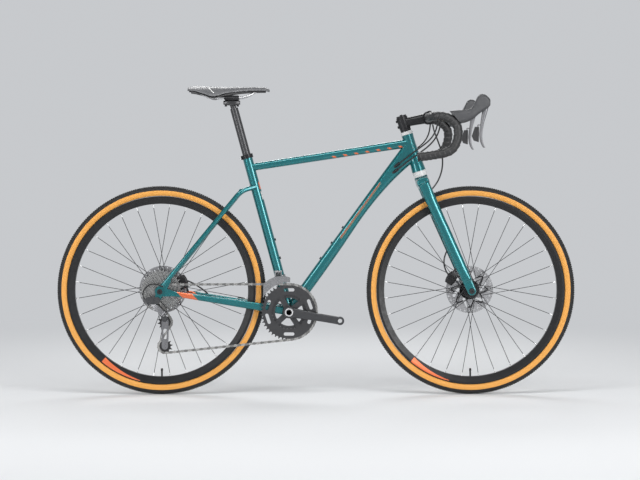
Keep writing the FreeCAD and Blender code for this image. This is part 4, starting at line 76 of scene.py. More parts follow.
lens = bpy.data.cameras.new("bench_camera")
lens.lens = camera_lens
lens.sensor_width = camera_sensor
camera = bpy.data.objects.new("bench_camera", lens)
camera.location = camera_place
camera.rotation_euler = (camera_target - camera_place).to_track_quat("-Z", "Y").to_euler()
bpy.context.scene.collection.objects.link(camera)
bpy.context.scene.camera = camera
print("camera", round((camera_target - camera_place).length, 3), "m from its target")

# %% [markdown]
# ## Helpers
# Shader nodes and objects are made in the same few steps each time. Three helpers take these steps: one
# makes a node and wires or sets its sockets, one turns a bmesh into an object with its materials, and one
# does a step of arithmetic inside a shader.

# %% Helpers
def add_node(tree, kind, inputs=None, **settings):
    """One shader node, with its settings, and its sockets wired or set."""
    made = tree.nodes.new(kind)
    for key, value in settings.items():
        setattr(made, key, value)
    for key, value in (inputs or {}).items():
        if isinstance(value, bpy.types.NodeSocket):
            tree.links.new(value, made.inputs[key])
        else:
            made.inputs[key].default_value = value
    return made


def add_piece(name, shape, finishes, smooth=True):
    """A bmesh made into an object with these materials."""
    mesh = bpy.data.meshes.new(name)
    shape.to_mesh(mesh)
    shape.free()
    for finish in finishes:
        mesh.materials.append(finish)
    for face in mesh.polygons:
        face.use_smooth = smooth
    piece = bpy.data.objects.new(name, mesh)
    bpy.context.scene.collection.objects.link(piece)
    return piece


def calc(tree, operation, first, second=0.0):
    """One step of arithmetic on sockets or plain numbers."""
    return add_node(tree, "ShaderNodeMath", {0: first, 1: second}, operation=operation).outputs[0]


print("helpers ready")

# %% [markdown]
# ## Backdrop
# A pale world gives soft light from all round, as a studio's white walls do. The Light Path node tells the
# rays that light the bike from those by which the camera or a mirror sees, so the backdrop can look
# brighter than it shines. It darkens towards the ceiling.

# %% Backdrop
world_colour = (0.82, 0.84, 0.87, 1.0)
world_strength = 0.34
background_strength = 0.7
ceiling_share = 0.35
ceiling_heights = (0.2, 0.7)


def straight_rays(tree):
    """1 for the camera's rays and for those that a mirror or glass sends on."""
    path = add_node(tree, "ShaderNodeLightPath")
    seen = calc(tree, "MAXIMUM", path.outputs["Is Camera Ray"], path.outputs["Is Glossy Ray"])
    return calc(tree, "MAXIMUM", seen, path.outputs["Is Transmission Ray"])


world = bpy.data.worlds.new("studio")
bpy.context.scene.world = world
world.use_nodes = True
world_tree = world.node_tree
world_tree.nodes.clear()
room_light = add_node(world_tree, "ShaderNodeBackground", {"Color": world_colour, "Strength": world_strength})
sky_way = add_node(world_tree, "ShaderNodeTexCoord").outputs["Generated"]
sky_height = add_node(world_tree, "ShaderNodeSeparateXYZ", {"Vector": sky_way}).outputs["Z"]
sky_fade = add_node(world_tree, "ShaderNodeMapRange", {
    "Value": sky_height, "From Min": ceiling_heights[0], "From Max": ceiling_heights[1],
    "To Min": background_strength, "To Max": background_strength * ceiling_share}).outputs[0]
room_view = add_node(world_tree, "ShaderNodeBackground", {"Color": world_colour, "Strength": sky_fade})
room_mix = add_node(world_tree, "ShaderNodeMixShader", {
    0: straight_rays(world_tree), 1: room_light.outputs[0], 2: room_view.outputs[0]})
add_node(world_tree, "ShaderNodeOutputWorld", {"Surface": room_mix.outputs[0]})
print("backdrop seen at", background_strength, "and lighting at", world_strength)

# %% [markdown]
# ## Floor
# The floor is pale and dull. Far from the bike it fades into the backdrop, for the camera and for mirror
# rays only, so the fade adds no light.

# %% Floor
floor_reach = 30.0
floor_sides = 96
floor_roughness, floor_shine = 0.8, 0.08
floor_colour = (0.78, 0.79, 0.8, 1.0)
floor_fade = (1.3, 3.6)

floor_finish = bpy.data.materials.new("pale_floor")
floor_finish.use_nodes = True
floor_tree = floor_finish.node_tree
floor_shader = floor_tree.nodes["Principled BSDF"]
floor_shader.inputs["Base Color"].default_value = floor_colour
floor_shader.inputs["Roughness"].default_value = floor_roughness
floor_shader.inputs["Specular IOR Level"].default_value = floor_shine
floor_spot = add_node(floor_tree, "ShaderNodeTexCoord").outputs["Object"]
floor_span = add_node(floor_tree, "ShaderNodeVectorMath", {0: floor_spot}, operation="LENGTH")
far_share = add_node(floor_tree, "ShaderNodeMapRange", {
    "Value": floor_span.outputs["Value"], "From Min": floor_fade[0], "From Max": floor_fade[1]},
    interpolation_type="SMOOTHSTEP").outputs[0]
far_rays = calc(floor_tree, "MULTIPLY", far_share, straight_rays(floor_tree))
far_view = add_node(floor_tree, "ShaderNodeEmission", {
    "Color": world_colour, "Strength": background_strength})
floor_mix = add_node(floor_tree, "ShaderNodeMixShader", {
    0: far_rays, 1: floor_shader.outputs[0], 2: far_view.outputs[0]})
floor_tree.links.new(floor_mix.outputs[0], floor_tree.nodes["Material Output"].inputs["Surface"])
floor_shape = bmesh.new()
bmesh.ops.create_circle(floor_shape, cap_ends=True, segments=floor_sides, radius=floor_reach)
floor = add_piece("studio_floor", floor_shape, [floor_finish])
print("floor reaches", floor_reach, "m")

# %% [markdown]
# ## Lamps
# A round tube shows its roundness by a long bright line, and that line appears where the tube mirrors a
# lamp that lies square to it. So two tall strip lamps stand left and right for the upright tubes, one broad
# lamp hangs overhead for the top tube, and one behind draws a thin bright edge. Their strength is kept
# plain, so a colour renders about as it is written.

# %% Lamps
lamps = (
    ("right_strip", (2.6, -3.4, 1.5), (0.2, 0.0, 0.6), (1.1, 2.8), 88.0),
    ("left_strip", (-3.0, -2.9, 1.5), (-0.2, 0.0, 0.6), (1.0, 2.8), 66.0),
    ("overhead", (0.1, -1.9, 3.6), (0.0, 0.0, 0.6), (3.4, 1.0), 66.0),
    ("back_edge", (0.0, 3.2, 3.0), (0.0, 0.0, 0.5), (3.0, 0.8), 62.0),
)

for lamp_name, place, aim, size, power in lamps:
    light = bpy.data.lights.new(lamp_name, "AREA")
    light.shape = "RECTANGLE"
    light.size, light.size_y = size
    light.energy = power
    lamp = bpy.data.objects.new(lamp_name, light)
    lamp.location = place
    lamp.rotation_euler = (Vector(aim) - Vector(place)).to_track_quat("-Z", "Y").to_euler()
    bpy.context.scene.collection.objects.link(lamp)
bpy.context.scene.view_settings.view_transform = "Standard"
print("lamps", len(lamps))

# %% [markdown]
# ## A recipe for surfaces
# No real surface is one flat colour. Each finish here starts from a colour, then lets a fine noise shift
# it a little, roughen it a little and raise it a little. Patterns are laid over that as masks, which are
# worked out from the piece's own coordinates, so they stay put when the piece moves.

# %% Surface recipe
cloud_detail, patch_detail = 3.0, 2.0
patch_size = 12.0
patch_span = (0.25, 0.75)
least_roughness = 0.02
coat_roughness = 0.04


def mix_colour(tree, factor, first, second):
    """Blends two colours, each a socket or a plain tuple."""
    made = add_node(tree, "ShaderNodeMix", data_type="RGBA")
    for index, value in ((0, factor), (6, first), (7, second)):
        if isinstance(value, bpy.types.NodeSocket):
            tree.links.new(value, made.inputs[index])
        else:
            made.inputs[index].default_value = value
    return made.outputs[2]


def all_of(tree, first, *others):
    """1 where every mask is 1."""
    for mask in others:
        first = calc(tree, "MULTIPLY", first, mask)
    return first


def within(tree, value, low, high):
    """1 where the value lies between low and high."""
    return all_of(tree, calc(tree, "GREATER_THAN", value, low), calc(tree, "LESS_THAN", value, high))


def along(tree, coords, origin, direction):
    """Distance of each point from the origin, measured along a direction."""
    moved = add_node(tree, "ShaderNodeVectorMath", {0: coords, 1: tuple(origin)}, operation="SUBTRACT")
    return add_node(tree, "ShaderNodeVectorMath", {0: moved.outputs[0], 1: tuple(direction)},
                    operation="DOT_PRODUCT").outputs["Value"]


def from_axle(tree, coords, axle):
    """Radius and angle of each point round a wheel's axle."""
    ahead = along(tree, coords, axle, (1.0, 0.0, 0.0))
    above = along(tree, coords, axle, (0.0, 0.0, 1.0))
    squares = calc(tree, "ADD", calc(tree, "MULTIPLY", ahead, ahead), calc(tree, "MULTIPLY", above, above))
    return calc(tree, "SQRT", squares), calc(tree, "ARCTAN2", above, ahead)


def surface(name, colour, metallic=0.0, roughness=0.5, vary=0.15, grain=300.0, relief=0.0, coat=0.0,
            rough_swing=0.08, layers=None, marks=None):
    """A finish with fine variation. Layers return masks with colours, marks a height to raise."""
    finish = bpy.data.materials.new(name)
    finish.use_nodes = True
    tree = finish.node_tree
    shader = tree.nodes["Principled BSDF"]
    coords = add_node(tree, "ShaderNodeTexCoord").outputs["Object"]
    cloud = add_node(tree, "ShaderNodeTexNoise", {"Vector": coords, "Scale": grain, "Detail": cloud_detail})
    patch = add_node(tree, "ShaderNodeTexNoise", {
        "Vector": coords, "Scale": grain / patch_size, "Detail": patch_detail})
    dark = tuple(channel * (1.0 - vary) for channel in colour) + (1.0,)
    light = tuple(min(1.0, channel * (1.0 + vary)) for channel in colour) + (1.0,)
    tone = mix_colour(tree, cloud.outputs["Fac"], dark, light)
    for mask, over in (layers(tree, coords) if layers else ()):
        tone = mix_colour(tree, mask, tone, tuple(over) + (1.0,))
    tree.links.new(tone, shader.inputs["Base Color"])
    swing = add_node(tree, "ShaderNodeMapRange", {
        "Value": patch.outputs["Fac"], "From Min": patch_span[0], "From Max": patch_span[1],
        "To Min": max(least_roughness, roughness - rough_swing), "To Max": roughness + rough_swing})
    tree.links.new(swing.outputs[0], shader.inputs["Roughness"])
    shader.inputs["Metallic"].default_value = metallic
    shader.inputs["Coat Weight"].default_value = coat
    shader.inputs["Coat Roughness"].default_value = coat_roughness
    height = cloud.outputs["Fac"]
    if marks:
        height = calc(tree, "ADD", height, marks(tree, coords))
    if relief:
        bump = add_node(tree, "ShaderNodeBump", {"Height": height, "Strength": 1.0, "Distance": relief})
        tree.links.new(bump.outputs["Normal"], shader.inputs["Normal"])
    return finish


def dress(finish, *nodes):
    """Gives CAD nodes a finish."""
    for name in nodes:
        for held in frame["nodes"][name].material_slots:
            held.material = finish


print("surface recipe ready")

# %% [markdown]
# ## Teal paint
# The frame and fork share a deep teal with metal flake under a clear coat. The flake is a very fine noise
# that changes the tone, and the clear coat is the shader's own coat. The accents are masks along each
# tube: coral ticks low on the top tube, a coral bar and a pale dash on the seat tube's front, a coral block
# at the chainstay's end, and one coral and one gold pinstripe along the down tube.

# %% Frame paint
teal = (0.002, 0.15, 0.165)
coral = (0.78, 0.17, 0.06)
pale = (0.8, 0.8, 0.78)
gold = (0.55, 0.33, 0.1)
top_tube_start = Vector((-0.2218, 0.0, 0.7635))
top_tube_line = Vector((0.9884, 0.0, 0.1517))
top_tube_up = Vector((-0.1517, 0.0, 0.9884))
tick_first, tick_last, tick_pitch, tick_length = 0.272, 0.512, 0.0375, 0.011
tick_heights = (-0.0105, -0.004)
down_tube_slope = math.radians(54.2)
down_tube_line = Vector((math.cos(down_tube_slope), 0.0, math.sin(down_tube_slope)))
down_tube_up = Vector((-down_tube_line.z, 0.0, down_tube_line.x))
stripe_run = (0.3, 0.53)
stripe_heights, thread_heights = (0.0042, 0.0066), (0.0009, 0.002)
seat_front = Vector((seat_axis.z, 0.0, -seat_axis.x))
seat_face = (0.0125, 0.02)
bar_heights, dash_heights = (0.421, 0.446), (0.386, 0.414)
block_run, block_heights = (0.054, 0.097), (-0.06, 0.0015)


def frame_accents(tree, coords):
    """Ticks on the top tube, a bar and a dash on the seat tube, and two stripes on the down tube."""
    rise = along(tree, coords, top_tube_start, top_tube_up)
    lean = calc(tree, "ADD", along(tree, coords, top_tube_start, top_tube_line), rise)
    beat = calc(tree, "MODULO", calc(tree, "SUBTRACT", lean, tick_first), tick_pitch)
    ticks = all_of(tree, within(tree, beat, 0.0, tick_length), within(tree, rise, *tick_heights),
                   within(tree, lean, tick_first, tick_last))
    climb = along(tree, coords, bracket, seat_axis)
    front_face = within(tree, along(tree, coords, bracket, seat_front), *seat_face)
    bar = all_of(tree, front_face, within(tree, climb, *bar_heights))
    dash = all_of(tree, front_face, within(tree, climb, *dash_heights))
    down_rise = along(tree, coords, bracket, down_tube_up)
    length = within(tree, along(tree, coords, bracket, down_tube_line), *stripe_run)
    stripe = all_of(tree, length, within(tree, down_rise, *stripe_heights))
    thread = all_of(tree, length, within(tree, down_rise, *thread_heights))
    return ((ticks, coral), (bar, coral), (dash, pale), (stripe, coral), (thread, gold))


def stay_accents(tree, coords):
    """A slanted block behind each chainstay's end."""
    above = along(tree, coords, rear_axle, (0.0, 0.0, 1.0))
    slanted = calc(tree, "ADD", along(tree, coords, rear_axle, (1.0, 0.0, 0.0)), above)
    return ((all_of(tree, within(tree, slanted, *block_run), within(tree, above, *block_heights)), coral),)


def flake(name, layers=None):
    """Teal paint with metal flake under a clear coat."""
    return surface(name, teal, metallic=0.6, roughness=0.24, vary=0.2, grain=1500.0, coat=0.8,
                   rough_swing=0.03, layers=layers)


dress(flake("teal_main", frame_accents), "main_frame")
dress(flake("teal_stays", stay_accents), "rear_triangle")
fork_paint = flake("teal_fork")
print("painted main frame and stays")

# %% [markdown]
# ## An even skin
# A solid arrives as long thin triangles, which can't be shaped further. A voxel remesh builds it again from
# small even faces, and a few rounds of smoothing take out the steps that the voxels leave. The fork and the
# saddle both start from such a skin.

# %% Even skin
weld_gap = 0.00001
smooth_share = 0.5


def even_skin(node, name, voxel, rounds):
    """A node's shape as one even, smooth skin."""
    shape = bmesh.new()
    shape.from_mesh(frame["nodes"][node].data)
    bmesh.ops.remove_doubles(shape, verts=shape.verts, dist=weld_gap)
    rough = add_piece(name + "_rough", shape, [])
    remesh = rough.modifiers.new("even", "REMESH")
    remesh.mode = "VOXEL"
    remesh.voxel_size = voxel
    ready = bpy.context.evaluated_depsgraph_get()
    even = bpy.data.meshes.new_from_object(rough.evaluated_get(ready))
    bpy.data.objects.remove(rough)
    skin = bmesh.new()
    skin.from_mesh(even)
    for _ in range(rounds):
        bmesh.ops.smooth_vert(skin, verts=skin.verts, factor=smooth_share, use_axis_x=True, use_axis_y=True,
                              use_axis_z=True)
    return skin


print("even skin ready")

# %% [markdown]
# ## Fork legs
# A fork leg is a tube squeezed a little from round. The solid's legs have flat sides, which mirror one dull
# tone, so on the even skin each leg is drawn in to an ellipse with the same width and depth. Slices along
# the leg tell where its middle is and how wide it is there, and the change fades out towards the crown and
# the tip.

# %% Fork legs
fork_voxel = 0.0025
fork_rounds = 2
least_reach = 0.5
slice_height = 0.008
leg_low, leg_full_low, leg_full_high, leg_high = 0.385, 0.42, 0.66, 0.7
leg_inner = 0.02


def leg_slices(skin, side):
    """Middle and half sizes of one leg, for each slice of its height."""
    slices = {}
    for vertex in skin.verts:
        if leg_low < vertex.co.z < leg_high and vertex.co.y * side > leg_inner:
            slices.setdefault(int(vertex.co.z / slice_height), []).append(vertex.co)
    sizes = {}
    for level, places in slices.items():
        ahead = [place.x for place in places]
        across = [place.y for place in places]
        sizes[level] = ((max(ahead) + min(ahead)) / 2.0, (max(across) + min(across)) / 2.0,
                        (max(ahead) - min(ahead)) / 2.0, (max(across) - min(across)) / 2.0)
    return sizes


def size_at(sizes, height):
    """Sizes between two slices, so that the leg has no steps."""
    level = height / slice_height - 0.5
    low = int(math.floor(level))
    first, second = sizes.get(low, sizes.get(low + 1)), sizes.get(low + 1, sizes.get(low))
    return [a + (b - a) * (level - low) for a, b in zip(first, second)]


def round_legs(skin):
    """Draws each leg's skin in to an ellipse, fading out at both ends of the leg."""
    for side in (-1, 1):
        sizes = leg_slices(skin, side)
        for vertex in skin.verts:
            place = vertex.co
            if not leg_low < place.z < leg_high or place.y * side <= leg_inner:
                continue
            ahead, across, half_depth, half_width = size_at(sizes, place.z)
            reach = math.hypot((place.x - ahead) / half_depth, (place.y - across) / half_width)
            share = min(1.0, (place.z - leg_low) / (leg_full_low - leg_low),
                        (leg_high - place.z) / (leg_high - leg_full_high))
            draw = 1.0 + (1.0 / max(reach, least_reach) - 1.0) * share
            place.x = ahead + (place.x - ahead) * draw
            place.y = across + (place.y - across) * draw


fork_skin = even_skin("fork", "fork_blades", fork_voxel, fork_rounds)
round_legs(fork_skin)
fork_piece = add_piece("fork_blades", fork_skin, [fork_paint])
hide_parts("fork")
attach(fork_piece, "steering")
print("fork faces", len(fork_piece.data.polygons))

# %% [markdown]
# ## Plain metals and plastics
# Forged and anodised parts have a soft satin grain, steel is brighter and smoother, and moulded plastic is
# dull. These finishes differ only in their numbers, so one table holds them all, and a loop makes each one
# and gives it to its parts.

# %% Plain finishes
silver = (0.62, 0.62, 0.63)
satin_black = (0.016, 0.016, 0.018)
plain_finishes = (
    ("black_anodised", satin_black,
     dict(metallic=0.35, roughness=0.38, vary=0.2, grain=900.0, relief=0.00002),
     ("headset_spacers", "stem", "stem_faceplate", "handlebar", "saddle_clamp", "bottom_bracket_cups",
      "frame_fittings", "front_hub", "rear_hub")),
    ("post_grey", (0.06, 0.06, 0.063),
     dict(metallic=0.6, roughness=0.33, vary=0.2, grain=1100.0, relief=0.00002, coat=0.1), ("seatpost",)),
    ("caliper_black", (0.02, 0.02, 0.022),
     dict(metallic=0.3, roughness=0.42, vary=0.25, grain=700.0, relief=0.00004),
     ("front_caliper", "rear_caliper")),
    ("ring_white", (0.62, 0.62, 0.62), dict(roughness=0.35, vary=0.06, grain=500.0, coat=0.2),
     ("headset_cups",)),
    ("bare_steel", silver, dict(metallic=1.0, roughness=0.28, vary=0.12, grain=900.0),
     ("headset_bearings", "saddle_rails")),
    ("axle_black", (0.04, 0.04, 0.043), dict(metallic=0.7, roughness=0.35, vary=0.15, grain=900.0),
     ("rear_thru_axle", "front_thru_axle")),
    ("shifter_plate", (0.32, 0.32, 0.33), dict(metallic=0.8, roughness=0.27, vary=0.2, grain=800.0),
     ("front_derailleur_body", "front_derailleur_link", "front_derailleur_cage")),
    ("derailleur_grey", (0.085, 0.086, 0.09),
     dict(metallic=0.7, roughness=0.34, vary=0.2, grain=900.0, relief=0.00003),
     ("derailleur_b_knuckle", "derailleur_inner_link", "derailleur_p_knuckle")),
    ("derailleur_plate", (0.24, 0.24, 0.25),
     dict(metallic=0.85, roughness=0.3, vary=0.18, grain=900.0, relief=0.00003),
     ("derailleur_outer_link", "derailleur_cage")),
    ("pulley_plastic", (0.014, 0.014, 0.015), dict(roughness=0.5, vary=0.3, grain=700.0, relief=0.00004),
     ("guide_pulley", "tension_pulley")),
    ("lever_satin", (0.19, 0.19, 0.2), dict(metallic=0.6, roughness=0.34, vary=0.12, grain=900.0, coat=0.1),
     ("brake_lever_right", "brake_lever_left")),
    ("control_plastic", (0.022, 0.022, 0.024), dict(roughness=0.45, vary=0.25, grain=900.0, relief=0.00003),
     ("lever_brackets", "shift_lever_right", "shift_lever_left", "saddle_shell")),
    ("pad_compound", (0.07, 0.06, 0.05),
     dict(metallic=0.4, roughness=0.7, vary=0.4, grain=1400.0, relief=0.0001),
     ("front_pad_inner", "front_pad_outer", "rear_pad_inner", "rear_pad_outer")),
)

for finish_name, colour, look, node_names in plain_finishes:
    dress(surface(finish_name, colour, **look), *node_names)
print("plain finishes", len(plain_finishes))

# %% [markdown]
# ## Turned metal
# Rotors, sprockets and chainrings carry fine rings from the lathe. These come from a noise that reads only
# the radius, so the marks run round the axle. The openings between a rotor's arms and the steps between
# sprockets are too fine to show by their own shadows at this distance, so masks on radius and angle paint
# that shade on them as a darker colour.

# %% Turned metal
ring_scale, ring_detail = 2600.0, 2.0
carrier_radius = 0.034
truss_count, truss_share = 8, 0.14
truss_radii = (0.036, 0.063)
# Painted shade for the openings in a rotor and for the steps between sprockets.
gap_shade_grey = (0.05, 0.05, 0.053)
sprocket_step, sprocket_gap = 0.0043, 0.0015


def lathe_rings(axle):
    """Fine rings round an axle, as a height to raise."""
    def marks(tree, coords):
        radius, _ = from_axle(tree, coords, axle)
        return add_node(tree, "ShaderNodeTexNoise", {"W": radius, "Scale": ring_scale, "Detail": ring_detail},
                        noise_dimensions="1D").outputs["Fac"]
    return marks


def rotor_carrier_and_shade(axle):
    """The black carrier in a rotor's middle, and painted shade in the zigzag between its braking band's arms.
    """
    def layers(tree, coords):
        radius, angle = from_axle(tree, coords, axle)
        turns = calc(tree, "MULTIPLY", calc(tree, "ADD", angle, math.tau), truss_count / math.tau)
        swing = calc(tree, "SUBTRACT", calc(tree, "MODULO", turns, 1.0), 0.5)
        zigzag = calc(tree, "MULTIPLY", calc(tree, "ABSOLUTE", swing), 2.0)
        low, high = truss_radii
        rise = calc(tree, "DIVIDE", calc(tree, "SUBTRACT", radius, low), high - low)
        line = within(tree, calc(tree, "SUBTRACT", zigzag, rise), -truss_share, truss_share)
        # The zigzag band gets painted shade in place of the openings' own shadow.
        shaded_openings = all_of(tree, within(tree, radius, low, high), line)
        return ((shaded_openings, gap_shade_grey), (calc(tree, "LESS_THAN", radius, carrier_radius), satin_black))
    return layers


def sprocket_gap_shade(tree, coords):
    """Painted shade on the steps between sprockets of growing size."""
    radius, _ = from_axle(tree, coords, rear_axle)
    beat = calc(tree, "MODULO", radius, sprocket_step)
    return ((calc(tree, "LESS_THAN", beat, sprocket_gap), gap_shade_grey),)


for end, axle in wheels:
    dress(surface(end + "_rotor_steel", (0.42, 0.42, 0.43), metallic=0.85, roughness=0.3, vary=0.1,
                  grain=600.0, relief=0.00003, marks=lathe_rings(axle), layers=rotor_carrier_and_shade(axle)),
          end + "_rotor")
dress(surface("sprocket_plate", (0.5, 0.5, 0.49), metallic=0.85, roughness=0.3, vary=0.2, grain=500.0,
              relief=0.00003, marks=lathe_rings(rear_axle), layers=sprocket_gap_shade), "cassette")
dress(surface("ring_grey", (0.075, 0.075, 0.078), metallic=0.8, roughness=0.38, vary=0.15, grain=700.0,
              relief=0.00003, marks=lathe_rings(bracket)), "chainring_outer", "chainring_inner")
print("rotors, sprockets and chainrings done")

# %% [markdown]
# ## Chain, crank, clamp and hoods
# Each of these has one detail that a single tone would lose: the painted shade on the chain's deeper links,
# the pale ring on the crank's cap, the bright bolt of the seat clamp and the ribs on the neck of a rubber
# hood. The first three are masks over the colour, and the ribs are raised by the bump.

# %% Chain, crank, clamp and hoods
link_pitch = 0.0127
chain_back = (-1.0, 0.0, 0.0)
# Painted shade colour for every second link, which lies deeper.
deep_link_shade = (0.26, 0.256, 0.25)
cap_ring, cap_face = (0.0, 0.014), 0.0705
clamp_bolt_back = -0.0205
rib_scale = 110.0
neck_ribs = (0.448, 0.478)


def link_shade(tree, coords):
    """Every second link lies deeper, between the plates of its neighbours, so painted shade darkens it."""
    beat = calc(tree, "MODULO", along(tree, coords, chain_back, (1.0, 0.0, 0.0)), 2.0 * link_pitch)
    return ((calc(tree, "LESS_THAN", beat, link_pitch), deep_link_shade),)


def crank_cap_ring(tree, coords):
    """The pale ring on the outer face of the right arm's cap."""
    radius, _ = from_axle(tree, coords, bracket)
    beside = along(tree, coords, bracket, (0.0, -1.0, 0.0))
    on_face = calc(tree, "GREATER_THAN", beside, cap_face)
    return ((all_of(tree, within(tree, radius, *cap_ring), on_face), silver),)


def clamp_bolt(tree, coords):
    """The bright bolt behind the seat tube."""
    return ((calc(tree, "LESS_THAN", along(tree, coords, bracket, seat_front), clamp_bolt_back), silver),)


def hood_grip(tree, coords):
    """Fine slanted ribs at the neck, as the moulded grip on a lever hood has."""
    ribs = add_node(tree, "ShaderNodeTexWave", {"Vector": coords, "Scale": rib_scale, "Distortion": 0.0},
                    bands_direction="DIAGONAL")
    neck = within(tree, along(tree, coords, (0.0, 0.0, 0.0), (1.0, 0.0, 0.0)), *neck_ribs)
    return calc(tree, "MULTIPLY", ribs.outputs["Fac"], neck)


dress(surface("chain_plate", (0.46, 0.455, 0.44), metallic=0.9, roughness=0.27, vary=0.3, grain=700.0,
              layers=link_shade), "chain")
dress(surface("crank_grey", (0.065, 0.066, 0.07), metallic=0.7, roughness=0.4, vary=0.18, grain=1200.0,
              relief=0.00003, coat=0.15, layers=crank_cap_ring), "crank_right", "crank_left")
dress(surface("clamp_black", satin_black, metallic=0.5, roughness=0.36, vary=0.2, grain=900.0,
              layers=clamp_bolt), "seat_clamp")
dress(surface("hood_rubber", (0.055, 0.056, 0.06), roughness=0.5, vary=0.2, grain=1500.0, relief=0.0003,
              marks=hood_grip), "lever_hoods")
print("chain, crank, clamp and hoods done")

# %% [markdown]
# ## Rims and spokes
# The rims are black with a slim coral blade low on one side. Its mask reads the angle round the axle and
# narrows with it. The spokes are dark steel, and their nipples, near the rim, are bright alloy, so one
# mask on the radius tells them apart.

# %% Rims and spokes
blade_start, blade_end = math.radians(-130.0), math.radians(-103.5)
blade_low, blade_high, blade_rise = 0.2945, 0.3135, 0.0165
nipple_radius = 0.2795
nipple_bright = (0.8, 0.8, 0.8)


def rim_blade(axle):
    """A coral blade that narrows along the rim."""
    def layers(tree, coords):
        radius, angle = from_axle(tree, coords, axle)
        share = calc(tree, "DIVIDE", calc(tree, "SUBTRACT", angle, blade_start), blade_end - blade_start)
        low = calc(tree, "ADD", calc(tree, "MULTIPLY", share, blade_rise), blade_low)
        inside = all_of(tree, within(tree, share, 0.0, 1.0), within(tree, radius, low, blade_high))
        return ((inside, coral),)
    return layers


def nipple_mask(axle):
    """Bright nipples at the outer ends of the spokes."""
    def layers(tree, coords):
        radius, _ = from_axle(tree, coords, axle)
        return ((calc(tree, "GREATER_THAN", radius, nipple_radius), nipple_bright),)
    return layers


for end, axle in wheels:
    dress(surface(end + "_rim_black", (0.013, 0.013, 0.014), metallic=0.3, roughness=0.36, vary=0.2,
                  grain=800.0, relief=0.00002, layers=rim_blade(axle)), end + "_rim")
    dress(surface(end + "_spoke_steel", (0.05, 0.05, 0.053), metallic=0.8, roughness=0.3, vary=0.15,
                  grain=900.0, layers=nipple_mask(axle)), end + "_spokes")
print("rims and spokes done")

# %% [markdown]
# ## Tyre casing
# A gravel tyre is a hollow hoop with a black tread and tan sidewalls. The hoop is one outline turned round
# the axle with spin, and each face gets its rubber by its place on that outline.

# %% Tyre casing
tyre_middle = 0.331
casing_radius = 0.0183
tread_height = 0.0019
casing_wall = 0.0024
sidewall_edge = math.radians(72.5)
bead_edge = math.radians(137.0)
hoop_steps = 180
outline_steps = 36
thread_scale, thread_wander = 420.0, 0.6

tread_rubber = surface("tread_rubber", (0.014, 0.014, 0.014), roughness=0.72, vary=0.4, grain=900.0,
                       relief=0.00012)


def casing_threads(tree, coords):
    """Fine slanted cords that show through a skinned sidewall."""
    return add_node(tree, "ShaderNodeTexWave", {
        "Vector": coords, "Scale": thread_scale, "Distortion": thread_wander},
        bands_direction="DIAGONAL").outputs["Fac"]


tan_wall = surface("tan_sidewall", (0.72, 0.33, 0.062), roughness=0.55, vary=0.12, grain=250.0,
                   relief=0.00006, marks=casing_threads)


def hoop(name, axle):
    """The casing: outer and inner arcs of one outline, spun round the axle."""
    shape = bmesh.new()
    outline = []
    for step in range(outline_steps + 1):
        turn = -bead_edge + 2.0 * bead_edge * step / outline_steps
        outline.append((casing_radius * math.sin(turn), tyre_middle + casing_radius * math.cos(turn)))
    inner = casing_radius - casing_wall
    for step in range(outline_steps + 1):
        turn = bead_edge - 2.0 * bead_edge * step / outline_steps
        outline.append((inner * math.sin(turn), tyre_middle + inner * math.cos(turn)))
    corners = [shape.verts.new((axle.x, side, axle.z + radius)) for side, radius in outline]
    edges = [shape.edges.new(pair) for pair in zip(corners, corners[1:] + corners[:1])]
    bmesh.ops.spin(shape, geom=corners + edges, cent=axle, axis=(0.0, 1.0, 0.0), angle=math.tau,
                   steps=hoop_steps, use_merge=True)
    bmesh.ops.recalc_face_normals(shape, faces=shape.faces)
    for face in shape.faces:
        middle = face.calc_center_median()
        radius = math.hypot(middle.x - axle.x, middle.z - axle.z) - tyre_middle
        face.material_index = 1 if abs(math.atan2(middle.y, radius)) > sidewall_edge else 0
    return add_piece(name, shape, [tread_rubber, tan_wall])


print("tyre casing ready")

# %% [markdown]
# ## Tread
# The tread's knobs are small six-sided frustums, set in rows across the crown and turned to stand square on
# it, so they show in outline and not only as a texture. The rows between the middle one and the outermost
# are set off by half a step.

# %% Tread
knob_rows = ((0.0, 150, 0.0032, 0.0019), (15.0, 150, 0.0031, 0.0019), (31.0, 132, 0.0033, 0.002),
             (47.0, 110, 0.0036, 0.0022), (62.0, 110, 0.0034, 0.0021))
knob_draft_share = 0.72
knob_sides = 6
knob_sink = 0.0002


def knobs(name, axle):
    """Rows of knobs, each standing square on the casing."""
    shape = bmesh.new()
    for tilt, count, half_length, half_width in knob_rows:
        for side in ((1,) if tilt == 0.0 else (-1, 1)):
            lean = math.radians(tilt) * side
            seat = casing_radius + tread_height / 2.0 - knob_sink
            place = Matrix.Translation((0.0, seat * math.sin(lean), tyre_middle + seat * math.cos(lean)))
            size = Matrix.Diagonal((half_length, half_width, 1.0, 1.0))
            for index in range(count):
                turn = math.tau * (index + (0.5 if int(tilt) % 2 else 0.0)) / count
                spot = Matrix.Translation(axle) @ Matrix.Rotation(turn, 4, "Y") @ place
                bmesh.ops.create_cone(shape, cap_ends=True, segments=knob_sides, radius1=1.0,
                                      radius2=knob_draft_share, depth=tread_height,
                                      matrix=spot @ Matrix.Rotation(-lean, 4, "X") @ size)
    return add_piece(name, shape, [tread_rubber], smooth=False)


for end, axle in wheels:
    casing = hoop(end + "_tyre_casing", axle)
    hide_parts(end + "_tyre")
    tread = knobs(end + "_tyre_knobs", axle)
    for piece in (casing, tread):
        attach(piece, end + "_wheel")
    print(end, "tyre faces", len(casing.data.polygons), "knob faces", len(tread.data.polygons))

# %% [markdown]
# ## Lines along a route
# The bar and the hoses run along smooth lines in space. Each line is a NURBS curve, whose few points pull it
# into easy bends. The bar's tape needs bare points along the line, and a hose needs a round tube, so one
# helper makes the curve for both.

# %% Lines along a route
line_resolution = 24


